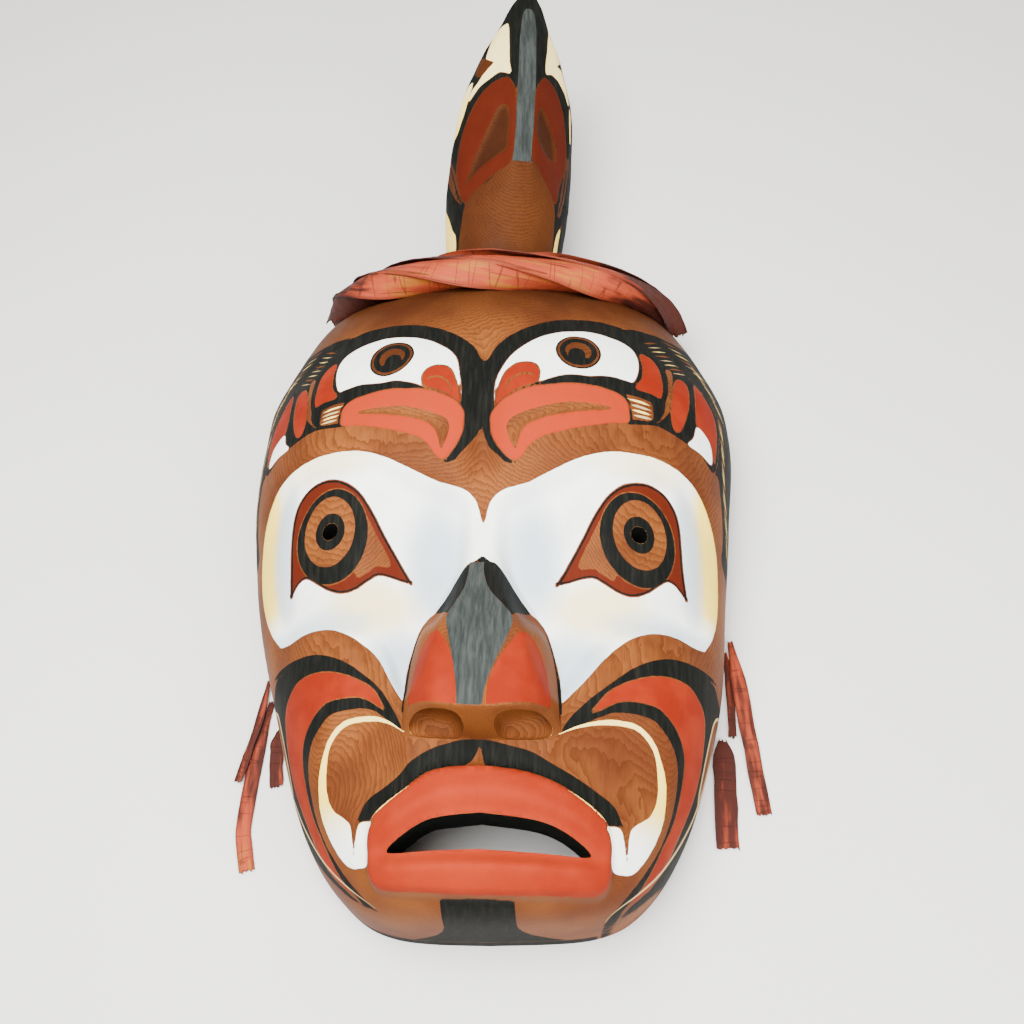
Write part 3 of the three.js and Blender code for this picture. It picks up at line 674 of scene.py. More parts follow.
class Lines:
    """Fine brush lines, as signed distances in half widths, which stay sharp between a mesh's points."""

    def __init__(self, x, y):
        self.x, self.y = x, y
        self.values = {name: np.full(len(x), NO_LINE) for name in LINE_VALUES}

    def draw(self, colour, route, width, pointed=0.0, closed=False):
        """pointed is the share of the length over which either end narrows."""
        points = spline(route, 6, closed)
        if closed:
            points = np.vstack([points, points[:1]])
        share = np.linspace(0, 1, len(points))
        half = np.full(len(points), width / 2)
        if pointed:
            half = half * np.clip(np.minimum(share, 1 - share) / pointed, 0.15, 1)
        x, y = self.x, self.y
        low, high = points.min(0) - 4, points.max(0) + 4
        at = np.flatnonzero((x > low[0]) & (x < high[0]) & (y > low[1]) & (y < high[1]))
        px, py = x[at], y[at]
        all_near, all_across = self.values[colour + "_near"], self.values[colour + "_across"]
        near, across = all_near[at], all_across[at]
        for k in range(len(points) - 1):
            (ax, ay), (bx, by) = points[k], points[k + 1]
            ex, ey = bx - ax, by - ay
            size = math.hypot(ex, ey) + 1e-9
            t = np.clip(((px - ax) * ex + (py - ay) * ey) / size**2, 0, 1)
            wide = half[k] + (half[k + 1] - half[k]) * t
            offset = (ex * (py - ay) - ey * (px - ax)) / size
            distance = np.hypot(px - ax - t * ex, py - ay - t * ey) - wide
            closer = distance < near
            near = np.where(closer, distance, near)
            across = np.where(closer, offset / wide, across)
        all_near[at], all_across[at] = near, across


class Paint:
    """How far each point lies inside every colour, built up in the painter's order."""

    def __init__(self, x, y):
        self.x, self.y = x, y
        self.fields = {name: np.full(len(x), -float(FAR)) for name in COLOURS}

    def shape(self, points):
        return inside(self.x, self.y, closed_curve(points))

    def lay(self, colour, shape, spread=0.0):
        """Covers a shape with a colour, or with None leaves it bare; spread closes the gap at its edge."""
        for name in COLOURS:
            self.fields[name] = np.minimum(self.fields[name], -shape)
        if colour:
            self.fields[colour] = np.maximum(self.fields[colour], shape + spread)

    def lay_all(self, *coats):
        for colour, points in coats:
            self.lay(colour, self.shape(points))


def face_paint(x, y, z):
    """Every colour on the face, in the order in which the coats were laid."""
    ax = folded(x, y)
    paint = Paint(ax, y)

    # The sockets and the eyes
    lid = inside(ax, y, LID_OUTLINE)
    paint.lay_all(("white", WHITE_SOCKET))
    paint.lay("red", lid + 0.9)
    paint.lay(None, np.minimum(paint.shape(LENS), lid - 3))
    for colour, place in (("black", EYE_BLACK), (None, EYE_BARE), ("black", EYE_PUPIL)):
        paint.lay(colour, ellipse(ax, y, *place))

    # The nose: black sides, a paler front as a painted sheen, and red wings with a bare border
    paint.lay("black", paint.shape(NOSE_BLACK), 0.5)
    paint.lay_all((None, WING_BARE), ("red", WING_RED))
    paint.lay("grey_sheen", inside(x, y, closed_curve(NOSE_SHEEN)), 0.5)
    # Its underside is bare
    under = under_nose(ax, y)
    paint.lay(None, np.minimum(np.minimum((1.05 - under) * 20, 40 - ax), (under + 0.3) * 20))

    # The mouth and the chin
    paint.lay("black", np.minimum(paint.shape(MUSTACHE), nose_heel(ax) + 0.4 - y))
    paint.lay("red", inside(ax, y, LIPS_OUTLINE))
    chin_half = np.interp(z, *zip(*CHIN))
    paint.lay("black", np.minimum(chin_half - np.abs(x + 3), 7.6 - y))
    paint.lay("black", np.minimum(CHIN_EDGE - z, np.minimum(80 - ax, 60 - y)) * 0.5)

    # The cheeks, then the bird's heads on the brow and the dark shoulders beside them
    paint.lay_all(
        ("black", CHEEK_BLACK), ("red", CHEEK_RED), (None, CHEEK_LOOP), (None, CHEEK_TRIANGLE),
        ("white", CREAM), ("black", SIDE), ("black", BROW_BLACK),
    )
    paint.lay(None, inside(x, y, closed_curve(BROW_WEDGE)))
    paint.lay_all(("white", BROW_WHITE))
    paint.lay(None, ellipse(ax, y, *BIRD_EYE, *BIRD_EYE_BARE))
    paint.lay("black", ellipse(ax, y, *BIRD_EYE, *BIRD_EYE_BLACK))
    arc = np.minimum(ellipse(ax, y, *BIRD_ARC), -ellipse(ax, y, *BIRD_ARC_HOLLOW))
    paint.lay(None, np.minimum(arc, y - BIRD_ARC_LOW))
    paint.lay_all(("red", BEAK), (None, SLOT))
    paint.lay("black", paint.shape(CURL) + 0.6)
    paint.lay_all(
        ("red", CURL), ("red", BROW_RED), (None, HATCH_BOX), (None, BROW_GAP),
        ("red", BROW_OVAL), ("red", OUTER_RED), ("white", OUTER_WHITE),
    )
    return {**paint.fields, **face_lines(ax, y)}


def face_lines(ax, y):
    """The lines that are finer than the mesh."""
    lines = Lines(ax, y)
    turn = turns(16)
    ring = np.stack([np.cos(turn), np.sin(turn)], 1) * BIRD_EYE_LINE + BIRD_EYE
    lines.draw("black", ring, 1.1, closed=True)
    lines.draw("black", LID, 1.0, closed=True)
    lines.draw("black", ARCH_LINE, 2.8)
    lines.draw("black", NOSE_EDGE, 0.7, 0.2)
    lines.draw("bare", CURL_STREAK, 1.5, 0.2)
    lines.draw("light", LIP_LINE, 1.0, 0.3)
    lines.draw("light", CRESCENT_ARM, 2.5, 0.3)
    lines.draw("pale", JAW_LINE, 0.6, 0.2)
    lines.draw("pale", CHEEK_LOOP, THIN_STROKE, closed=True)
    for count, hatch in enumerate(HATCHES):
        lines.draw(("light", "pale")[count % 2], hatch, 1.4, 0.3)
    for row in STROKE_ROWS:
        for count, share in enumerate(np.linspace(0, 1, row["count"])):
            start = np.array(row["start"]) * (1 - share) + np.array(row["end"]) * share
            name = ("bare", "pale", "light")[count % 3]
            width = row["width"] if name == "bare" else THIN_STROKE
            lines.draw(name, [start, start + row["reach"]], width, 0.5)
    return lines.values


def strongest(x, y, bumps):
    return np.max([amount * bump(x, y, *place) for amount, *place in bumps], axis=0)


def face_tints(x, y):
    """Softer colours: salmon reds, brown lids, cream whites; painted lip highlight, bluish shadow and
    shade.
    """
    ax = folded(x, y)
    # On the lips the lighter red is a faint wash all over and, brightest a little left of the middle, a
    # painted highlight
    lips = (0.15 + 0.45 * np.exp(-(((x + 10) / 38) ** 2))) * smooth((inside(ax, y, LIPS_OUTLINE) + 1) / 3)
    cream = smooth((y - 30) / 25) * smooth((96 - y) / 4)
    outer = smooth((ax - 108) / 12) * smooth((y - 145) / 20) * smooth((240 - y) / 20)
    return {
        "salmon_and_highlight": np.maximum(smooth(inside(ax, y, closed_curve(BEAK)) / 2 + 0.5), lips),
        "cream": np.maximum(np.maximum(cream, outer), strongest(ax, y, YELLOWED)),
        # Painted bluish shadow on the whites beside the nose and the eyes
        "cool_shadow": strongest(ax, y, COOL_SHADOWS),
        "worn_and_shaded": smooth((inside(ax, y, LID_OUTLINE) + 2) / 2),
        # Painted shade up towards the crown; round the bird's eyes it darkens the bare rings' wood
        "shade": np.maximum(smooth((y - 305) / 55), 0.8 * bump(ax, y, *BIRD_EYE, 22, 22)),
    }


# Meshes

# The levels between which the openings' cutter runs through the shell
OPENING_SPAN = (20, 160)
# How near a point stands to an opening's outline when it is one of its wall's
ON_OUTLINE = 0.02
EYE_HOLE_SIDES = 48


def mesh_of(name, points, faces, values=None):
    """A mesh in metres in the CAD frame, with a value at each point for every name in values."""
    mesh = bpy.data.meshes.new(name)
    placed = (np.asarray(points, float) - (0, RIM_WIDTH / 2, 0)) * MM
    mesh.from_pydata(placed.tolist(), [], [tuple(int(i) for i in face) for face in faces])
    for key, value in (values or {}).items():
        mesh.attributes.new(key, "FLOAT", "POINT").data.foreach_set("value", np.asarray(value, np.float32))
    mesh.update()
    return mesh


def add(name, points, faces, values=None):
    piece = bpy.data.objects.new(name, mesh_of(name, points, faces, values))
    bpy.context.scene.collection.objects.link(piece)
    return piece


def subtract(piece, points, faces):
    """Cuts a closed shape out of the piece; its walls are unpainted."""
    cutter = add("cutter", points, faces, unpainted(len(points)))
    modifier = piece.modifiers.new("cut", "BOOLEAN")
    modifier.operation = "DIFFERENCE"
    modifier.solver = "MANIFOLD"
    modifier.object = cutter
    seen = piece.evaluated_get(bpy.context.evaluated_depsgraph_get())
    mesh = bpy.data.meshes.new_from_object(seen)
    piece.modifiers.clear()
    old = piece.data
    piece.data = mesh
    bpy.data.meshes.remove(old)
    bpy.data.objects.remove(cutter)


def unpainted(count):
    """The paint's values where no colour lies."""
    values = {name: np.full(count, -float(FAR)) for name in COLOURS}
    values.update({name: np.zeros(count) for name in TINTS})
    values.update({name: np.full(count, NO_LINE) for name in LINE_VALUES})
    return values


def prism(outlines, low, high):
    """A solid of one or more flat outlines, drawn straight up from low to high."""
    points, faces = [], []
    for outline in outlines:
        count = len(outline)
        start = len(points)
        points += [(x, y, low) for x, y in outline] + [(x, y, high) for x, y in outline]
        ends = [tuple(range(count))[::-1], tuple(range(count, 2 * count))]
        faces += [tuple(start + i for i in face) for face in ends + tube_faces(1, count)]
    return points, faces


def anticlockwise(outline):
    x, y = outline.T
    area = np.sum(x * np.roll(y, -1) - y * np.roll(x, -1))
    return outline if area > 0 else outline[::-1]


def blacken_walls(mesh, outlines):
    """Marks the faces that line the mouth and the eye holes: all their corners stand on one outline."""
    points = np.empty(len(mesh.vertices) * 3, np.float32)
    mesh.vertices.foreach_get("co", points)
    x, y, _ = points.reshape(-1, 3).T / MM
    on_edge = np.zeros(len(x), bool)
    for outline in outlines:
        on_edge |= np.abs(inside(x, y + RIM_WIDTH / 2, outline)) < ON_OUTLINE
    wall = [all(on_edge[i] for i in face.vertices) for face in mesh.polygons]
    mesh.attributes.new("wall", "FLOAT", "FACE").data.foreach_set("value", np.array(wall, np.float32))


def mask_shell(front, back):
    """The front and the hollow back, joined round the rim, with the openings and the nostrils cut."""
    points, on_paint, loops = front
    hollow, back_loops = back
    shift = len(points)
    faces = ring_faces(loops)
    faces += [(a + shift, c + shift, b + shift) for a, b, c in ring_faces(back_loops)]
    halves = (0.5 * (BACK_RINGS % 2), 0.5 * (FRONT_RINGS % 2))
    faces += [(a, c, b) for a, b, c in zip_loops(back_loops[-1] + shift, loops[-1], *halves)]
    painted = {**face_paint(*on_paint), **face_tints(*on_paint[:2])}
    bare = unpainted(len(hollow))
    values = {key: np.concatenate([value, bare[key]]) for key, value in painted.items()}
    piece = add("carved_mask", np.vstack([points, hollow]), faces, values)
    mouth = anticlockwise(MOUTH_OUTLINE)
    mouth = np.stack([mouth[:, 0] + drift(*mouth.T), mouth[:, 1] - lean(*mouth.T)], 1)
    turn = turns(EYE_HOLE_SIDES)
    circle = np.stack([np.cos(turn), np.sin(turn)], 1) * EYE_HOLE_RADIUS
    openings = [mouth, *(circle + (side * EYE_X, EYE_Y - side * LEAN) for side in (-1, 1))]
    subtract(piece, *prism(openings, *OPENING_SPAN))
    blacken_walls(piece.data, openings)
    for side in (-1, 1):
        subtract(piece, *nostril(side))
    return piece


# The crest, in w, the distance across it from the keel, and s, the distance up it from its foot

CREST_FOOT = np.array([0.0, 360.0, 34.0])
CREST_TOP = np.array([26.0, 606.0, 130.0])
CREST_TWIST = math.radians(-15)
CREST_WIDTH = [
    (0, 33.5), (0.25, 39), (0.45, 43.5), (0.65, 41), (0.8, 30.5), (0.92, 16.5), (0.97, 11), (1, 6),
]
CREST_KEEL = [(0, 26), (0.15, 31), (0.27, 44), (0.6, 33), (0.85, 17), (1, 3)]
CREST_BACK = [(0, 26), (0.5, 24), (0.85, 13), (1, 2)]
CREST_FACET = [(0, 9), (0.5, 7), (0.9, 5), (1, 1.2)]
CREST_LENGTH = np.linalg.norm(CREST_TOP - CREST_FOOT)
CREST_ROWS = 170
CREST_COLUMNS = 96
# Its foot is a smooth boss, which turns into the keeled section over this stretch of its length
BOSS_END = 130
BOSS_BLEND = 40
CREST_SLOT_DEPTH = 1.6
# Beyond this distance round from the keel lies the back, which is left as bare wood
CREST_BACK_START = 74
CREST_GAP = 0.4

# The crest's flat keel, painted paler than its black sides: a painted sheen
CREST_SHEEN_STRIP = [
    (-3.5, 248), (-6, 222), (-6.3, 195), (-6.5, 171), (-6.3, 148), (-7.3, 125), (-7.3, 125), (4.3, 125),
    (4.3, 125), (5, 141), (5.3, 164), (5.3, 189), (5, 214), (4.8, 232), (2.7, 249),
]
CREST_WHITES = [
    [
        (-18, 240), (-15, 238), (-13.7, 220), (-13, 205), (-12, 194), (-20, 197), (-27.5, 193),
        (-34.5, 188), (-43, 177), (-43, 177), (-41, 187), (-36, 193), (-30.5, 202), (-25, 207),
        (-25, 207), (-29.5, 210), (-31.5, 213), (-30, 220), (-28, 234),
    ],
    [
        (-41, 195), (-43.5, 179), (-48.5, 167), (-53.5, 157), (-61.5, 149), (-56.5, 168), (-52.5, 180),
        (-47, 192),
    ],
    [
        (20, 244), (25, 235), (31, 224), (33.5, 218), (27, 211), (27, 211), (36, 208), (40.5, 201),
        (43, 190), (40.5, 183), (35, 191), (28, 198), (21, 200), (15, 198), (15, 210), (17.5, 230),
    ],
    [(42, 180), (45.5, 181), (48, 168), (49, 157), (45, 158)],
    [(-66, 104), (-61.5, 101), (-56, 94), (-51, 85), (-47, 79), (-48, 66), (-64, 66)],
    [(39, 91), (38, 85), (37, 68), (32, 68), (32.5, 79), (35.5, 86)],
]
CREST_REDS = [
    [
        (-16, 192), (-12, 189), (-8.7, 181), (-7.3, 171), (-7, 155), (-7, 140), (-8, 127), (-11.5, 121.5),
        (-19.5, 118), (-28.5, 110), (-36, 105), (-39, 100), (-45.5, 111), (-49.5, 121), (-51.5, 132),
        (-50, 145), (-46, 158), (-40.5, 170), (-34, 181), (-25.5, 189),
    ],
    [
        (14, 194), (19.5, 193), (27, 187), (34.5, 174), (39.5, 159), (42, 144), (41.5, 130), (33.5, 113),
        (28, 101), (22.5, 108), (17, 115), (11, 121.5), (5.8, 127), (5, 135), (5.5, 151), (5.5, 165),
        (6, 179), (9.5, 189),
    ],
]
CREST_SLOTS = [
    [
        (-17, 170), (-13, 167), (-11.5, 157), (-12, 142), (-12.3, 135.5), (-20, 131), (-30, 126),
        (-38, 118.5), (-42.5, 113), (-42.5, 113), (-40.5, 121), (-37, 132), (-32, 143), (-25.5, 157),
        (-21, 167),
    ],
    [
        (10.5, 168), (15, 167), (21, 160), (28.5, 148), (31, 135.5), (24, 133.5), (16.5, 137),
        (10.5, 144), (8.3, 151), (8.7, 161),
    ],
]
CREST_FOOT_BARE = [
    (-8, 125), (6.5, 125), (13, 120), (18.5, 112), (24, 105), (27, 99), (28.5, 89), (30, 71), (31, 20),
    (31, -10), (31, -10), (-46, -10), (-46, -10), (-45, 30), (-43.5, 71), (-41, 88), (-39, 98),
    (-36, 104), (-27, 110), (-18, 117),
]
CREST_BROWNS = [
    [(-37, 214), (-30, 210), (-25.5, 207), (-29, 203), (-35, 197), (-40, 203)],
    [(31, 214.5), (37, 216), (41, 211), (42, 205), (36, 206)],
    [(-62, 143), (-55, 131), (-48, 114), (-42.5, 101), (-46, 103), (-52, 111), (-60, 121), (-64, 132)],
    [(46, 144), (47.5, 131), (43, 115), (34, 94), (31.5, 97), (36, 111), (42.5, 127), (43.5, 139)],
]
CREST_LINES = [
    [(-61, 138), (-54, 123), (-47, 109), (-42, 100)],
    [(-63, 129), (-57.5, 115), (-49, 101), (-43.5, 93)],
    [(46, 137), (43, 122), (36, 104), (31, 95)],
]


def crest_section(share):
    """Half of the crest's section, from the keel round to the back, as points (across, forward)."""
    width = along(CREST_WIDTH, share)
    keel = along(CREST_KEEL, share)
    back = along(CREST_BACK, share)
    facet = min(along(CREST_FACET, share), width * 0.5)
    return np.array([
        (0, keel), (facet, keel), (facet + (width - facet) * 0.4, keel * 0.68), (width * 0.86, keel * 0.3),
        (width, -back * 0.1), (width * 0.86, -back * 0.6), (width * 0.45, -back * 0.95), (0, -back * 0.95),
    ])


def rounded_section(share):
    """The same section with its corners eased, as evenly spaced points and their distance from the keel."""
    corners = crest_section(share)
    ease = 0.22
    points = [corners[0]]
    for before, corner, after in zip(corners[:-2], corners[1:-1], corners[2:]):
        start = corner + (before - corner) * ease
        end = corner + (after - corner) * ease
        for t in np.linspace(0, 1, 6):
            points.append(start * (1 - t) ** 2 + 2 * corner * t * (1 - t) + end * t**2)
    points = np.array([*points, corners[-1]])
    run = np.concatenate([[0], np.cumsum(np.hypot(*np.diff(points, axis=0).T))])
    want = np.linspace(0, run[-1], CREST_COLUMNS // 2 + 1)
    return np.interp(want, run, points[:, 0]), np.interp(want, run, points[:, 1]), want


def rounder(u, v, amount):
    """Eases the front of a section towards a half ellipse."""
    widest = np.argmax(u)
    turn = np.linspace(math.pi / 2, 0, widest + 1)
    round_u, round_v = u.copy(), v.copy()
    round_u[:len(turn)] = np.max(u) * np.cos(turn)
    round_v[:len(turn)] = v[widest] + (np.max(v) * 0.93 - v[widest]) * np.sin(turn)
    return u + (round_u - u) * amount, v + (round_v - v) * amount


def crest_paint(w, s):
    """The crest's colours, over a coat of black."""
    paint = Paint(w, s)
    paint.lay("black", np.full(len(w), 8.0))
    paint.lay_all((None, CREST_FOOT_BARE))
    # A painted sheen down the keel's flat front
    paint.lay("grey_sheen", paint.shape(CREST_SHEEN_STRIP), 0.5)
    groups = (("red", CREST_REDS), (None, CREST_SLOTS), ("white", CREST_WHITES), (None, CREST_BROWNS))
    for colour, outlines in groups:
        paint.lay_all(*((colour, outline) for outline in outlines))
    paint.lay(None, np.minimum(np.abs(w) - CREST_BACK_START, 30))
    lines = Lines(w, s)
    for route in CREST_LINES:
        lines.draw("black", route, 1.3, 0.2)
    return {**paint.fields, **lines.values}


def in_slots(w, s, start):
    """1 in the crest's carved slots; start is how far outside them their slope begins."""
    return sum(smooth((inside(w, s, closed_curve(slot)) + start) / 3) for slot in CREST_SLOTS)


def crest_ring(share):
    """One ring of points round the crest, and their w and s."""
    u, v, run = rounded_section(share)
    u, v = rounder(u, v, smooth((BOSS_END - share * CREST_LENGTH) / BOSS_BLEND))
    u = np.concatenate([u, -u[-2:0:-1]])
    v = np.concatenate([v, v[-2:0:-1]])
    w = np.concatenate([run, -run[-2:0:-1]])
    s = np.full(len(w), share * CREST_LENGTH)
    marks = KNIFE_DEPTH * np.sin(w / 2.4 + 1.9 * np.sin(s / 12)) * np.sin(s / 4.7 + 1.7 * np.sin(w / 8))
    raised = marks * smooth((1 - share) / 0.1) - CREST_SLOT_DEPTH * in_slots(w, s, 0.5)
    scale = 1 + raised / np.maximum(np.hypot(u, v), 1)
    u, v = u * scale, v * scale
    slope = math.atan2(CREST_TOP[2] - CREST_FOOT[2], CREST_TOP[1] - CREST_FOOT[1])
    across = u * math.cos(CREST_TWIST) - v * math.sin(CREST_TWIST)
    forward = u * math.sin(CREST_TWIST) + v * math.cos(CREST_TWIST)
    offset = np.stack([across, -forward * math.sin(slope), forward * math.cos(slope)], 1)
    return CREST_FOOT + (CREST_TOP - CREST_FOOT) * share + offset, w, s


def crest(front):
    """The whole crest, cut so that its foot sits on the dome."""
    shares = [1 - (1 - step / CREST_ROWS) ** 1.15 for step in range(CREST_ROWS + 1)]
    rings, ws, ss = zip(*(crest_ring(share) for share in shares))
    count = len(rings[0])
    points = np.vstack([*rings, rings[0].mean(0), rings[-1].mean(0)])
    faces = tube_faces(CREST_ROWS, count, True)
    foot, tip = len(points) - 2, len(points) - 1
    top = CREST_ROWS * count
    for k in range(count):
        faces.append((foot, k, (k + 1) % count))
        faces.append((tip, top + (k + 1) % count, top + k))
    w = np.concatenate([*ws, [0, 0]])
    s = np.concatenate([*ss, [0, CREST_LENGTH]])
    values = {
        **unpainted(len(w)), **crest_paint(w, s), "cream": 0.75 + 0.2 * smooth((200 - s) / 60),
        # Painted shade: the whole crest darker, more in its carved slots, and its reds darker too
        "worn_and_shaded": np.full(len(w), 0.7), "shade": 0.95 + 0.3 * in_slots(w, s, 0),
    }
    piece = add("carved_crest", points, faces, values)
    subtract(piece, *dome_cutter(front, CREST_GAP))
    return piece


def dome_cutter(front, gap):
    """The front, closed below and everywhere a little outside the shell."""
    points, _, loops = front
    faces = ring_faces(loops)
    corners = points[np.array(faces)]
    flat = np.cross(corners[:, 1] - corners[:, 0], corners[:, 2] - corners[:, 0])
    normals = np.zeros_like(points)
    for k in range(3):
        np.add.at(normals, np.array(faces)[:, k], flat)
    normals /= np.linalg.norm(normals, axis=1)[:, None]
    low = -10
    rim = loops[-1]
    below = points[rim] * (1, 1, 0) + (0, 0, low)
    start = len(points)
    centre = start + len(rim)
    for k in range(len(rim)):
        after = (k + 1) % len(rim)
        faces += [(rim[k], start + k, rim[after]), (rim[after], start + k, start + after)]
        faces.append((start + after, start + k, centre))
    return np.vstack([points + normals * gap, below, [(0, CENTRE_Y, low)]]), faces


# Bark strips, with their brightness at even steps along each: own tone, and painted shade at the band's
# ends

BAND_TONES_AND_SHADE = [
    (-0.8, -0.5, 0.6, 0.9, 0.5, -0.2, -0.7), (-0.6, -0.1, 1.0, 0.6, 0.1, -0.5, -0.8),
    (-0.8, -0.5, 0.3, 0.9, 0.2, -0.5, -0.7), (0.0, 0.9, 0.5, 0.2, 0.6, -0.2, -0.8),
    (-0.8, -0.5, 0.0, 0.7, 0.9, 0.0, -0.6),
]
BAND_ROUTE = [
    (-27.4, 0.985), (-26, 0.955), (-22.5, 0.915), (-16, 0.875), (-7, 0.845), (5, 0.835), (15.5, 0.86),
    (24, 0.91), (29.8, 0.953), (32.8, 0.982),
]
BAND_STRIPS = 5
BAND_TURNS = 1
BAND_ACROSS = 16
BAND_DEEP = 9
BAND_LIFT = 0.5
# The scene's strips are this much wider than the CAD model's, to close the band
BAND_SPREAD = 5
BAND_STRIP_WIDTH = 13
BAND_CURL = 1.1
BAND_TILT = 1.5
BARK_THICKNESS = 1.2
# Most that a fibre runs past a strip's end or stops short of it, and how far from the end that shows
BAND_TORN = 4
HANGING_TORN = 2
TORN_REACH = 8
FIBRES = 14
FIBRE_HEIGHT = 0.22
STRIP_STEP = 1.6
EDGE_WANDER = 0.35
EDGE_STATIONS = 9
# How far a strip is cupped at most, either way
CUP = 0.25
# The hanging strips: width, brightness (the bark's own tone and painted shade), and the middle line's
# points
HANGING = {
    "left_1": (
        4.5, (0.1, -0.1), [(-134, 150, 3.4), (-136.6, 128, 3.4), (-141, 107, 3.2), (-145.6, 88, 3.2)],
    ),
    "left_2": (
        9, (-0.1, 0.1, 0.9),
        [(-131, 138, 1), (-136.6, 107, 1), (-139.4, 67, 1), (-138, 53, 1), (-134, 38, 1)],
    ),
    "left_3": (8, (-0.2, -0.1), [(-124.7, 120, 1.2), (-125.6, 110, 1), (-124.8, 100, 1), (-123.4, 85, 1)]),
    "right_1": (5, (0.1, 0.0), [(139.9, 166, 1), (140.4, 150, 1), (140, 130, 1), (139, 112, 1)]),
    "right_2": (
        9, (0.3, 0.2, 0.1),
        [(143, 172, 3.4), (145.5, 148, 3.2), (147.5, 122, 2.6), (150, 96, 1.2), (152.5, 67, 1)],
    ),
    "right_3": (13, (-0.3, -0.1, 0.1), [(133, 112, 1.6), (132.8, 98, 1), (131.6, 70, 1), (130.3, 49, 1)]),
}


def crown(degrees, share):
    """A point on the crown, with its outward direction."""
    def point_at(turn, part):
        heading = math.radians(turn)
        n = squareness(math.pi - abs(heading))
        radius = reach(math.pi - abs(heading)) * part
        x, y = math.sin(heading) * radius, CENTRE_Y + math.cos(heading) * radius
        return np.array([x, y, along(DOME, y) * (1 - part**n) ** (1 / n) + carving(x, y)])
    centre = point_at(degrees, share)
    out = np.cross(point_at(degrees + 0.5, share) - centre, point_at(degrees, share + 0.002) - centre)
    return centre, out / np.linalg.norm(out)


def unit(vectors):
    return vectors / np.linalg.norm(vectors, axis=-1, keepdims=True)


def towards_ends(share):
    """1 along the middle of a strip, falling to 0 at either end."""
    return smooth(4 * np.minimum(share, 1 - share))


def band_route(index):
    """The middle line of one strip of the band, and the direction its flat side looks in."""
    route = spline(BAND_ROUTE, 3)
    bundle = [crown(degrees, share) for degrees, share in route]
    out = np.array([o for _, o in bundle])
    centre = np.array([c for c, _ in bundle]) + out * (BAND_DEEP + BARK_THICKNESS / 2 + BAND_LIFT)
    ahead = np.vstack([centre[1:], centre[-1:]])
    behind = np.vstack([centre[:1], centre[:-1]])
    side = unit(np.cross(out, unit(ahead - behind)))
    share = np.linspace(0, 1, len(route))
    angle = 2 * math.pi * (index / BAND_STRIPS + BAND_TURNS * share)
    slim = (0.7 + 0.3 * towards_ends(share))[:, None]
    c, s = np.cos(angle)[:, None], np.sin(angle)[:, None]
    facing = unit(side * c / BAND_ACROSS + out * s / BAND_DEEP)
    return centre + side * c * BAND_ACROSS * slim + out * s * BAND_DEEP * slim, facing


def ribbon(name, route, facing, width, seed, tone_and_shade, torn, curl=0.0, tilt=0.0):
    """A strip of bark along a route: fibres along it, split edges and torn ends, in one closed mesh.

    tone is its brightness at even steps along it, partly the bark's own and partly painted shade; curl
    bends both edges down by so much, and tilt lifts one edge over the next strip's."""
    random = np.random.default_rng(seed)
    run = np.concatenate([[0], np.cumsum(np.linalg.norm(np.diff(route, axis=0), axis=1))])
    length = run[-1]
    steps = max(int(length / STRIP_STEP), 8)
    at = np.linspace(0, length, steps + 1)
    centre = np.stack([np.interp(at, run, route[:, k]) for k in range(3)], 1)
    up = unit(np.stack([np.interp(at, run, facing[:, k]) for k in range(3)], 1))
    forward = unit(np.gradient(centre, axis=0))
    across = unit(np.cross(forward, up))
    up = np.cross(across, forward)
    widths = np.interp(at, run, width)
    stations = np.linspace(0, length, EDGE_STATIONS)
    edges = [
        EDGE_WANDER * np.interp(at, stations, random.uniform(-1, 1, EDGE_STATIONS)) for _ in range(2)
    ]
    fibres = np.convolve(random.uniform(-1, 1, FIBRES + 2), [0.25, 0.5, 0.25], "valid") * FIBRE_HEIGHT
    ends = random.uniform(0, torn, (2, FIBRES))
    cup = random.uniform(-CUP, CUP)
    parts = np.linspace(-1, 1, FIBRES)
    tops, bottoms = [], []
    for column, part in enumerate(parts):
        near_start = ends[0, column] * np.exp(-at / TORN_REACH)
        near_end = ends[1, column] * np.exp(-(length - at) / TORN_REACH)
        edge = np.where(part < 0, edges[0], edges[1]) * abs(part) ** 3
        place = centre + across * (part * widths / 2 * 0.97 + edge)[:, None]
        place = place + forward * (near_start - near_end)[:, None]
        lift = fibres[column] + (cup - curl) * part**2 + tilt * part
        # A strip thins towards its edges
        thick = BARK_THICKNESS / 2 * (0.55 + 0.4 * (1 - part**2))
        tops.append(place + up * (lift + thick))
        bottoms.append(place + up * (lift - thick))
    ring = np.array(tops + bottoms[::-1])
    sides = len(ring)
    faces = tube_faces(steps, sides)
    last = steps * sides
    for k in range(FIBRES - 1):
        faces.append((k + 1, k, sides - 1 - k, sides - 2 - k))
        faces.append((last + k, last + k + 1, last + sides - 2 - k, last + sides - 1 - k))
    round_part = np.concatenate([parts, parts[::-1]])
    values = {
        # Each strip has its own stretch of the bark's pattern
        "across": np.tile(round_part * np.mean(widths) / 2, steps + 1) + 40 * seed,
        "run": np.repeat(at, sides),
        "tone_and_shade": np.repeat(np.interp(at / length, np.linspace(0, 1, len(tone_and_shade)), tone_and_shade), sides),
        # Painted shade along a strip's edges, where it meets the next
        "edge": np.tile(round_part**4, steps + 1),
    }
    return add(name, ring.transpose(1, 0, 2).reshape(-1, 3), faces, values)


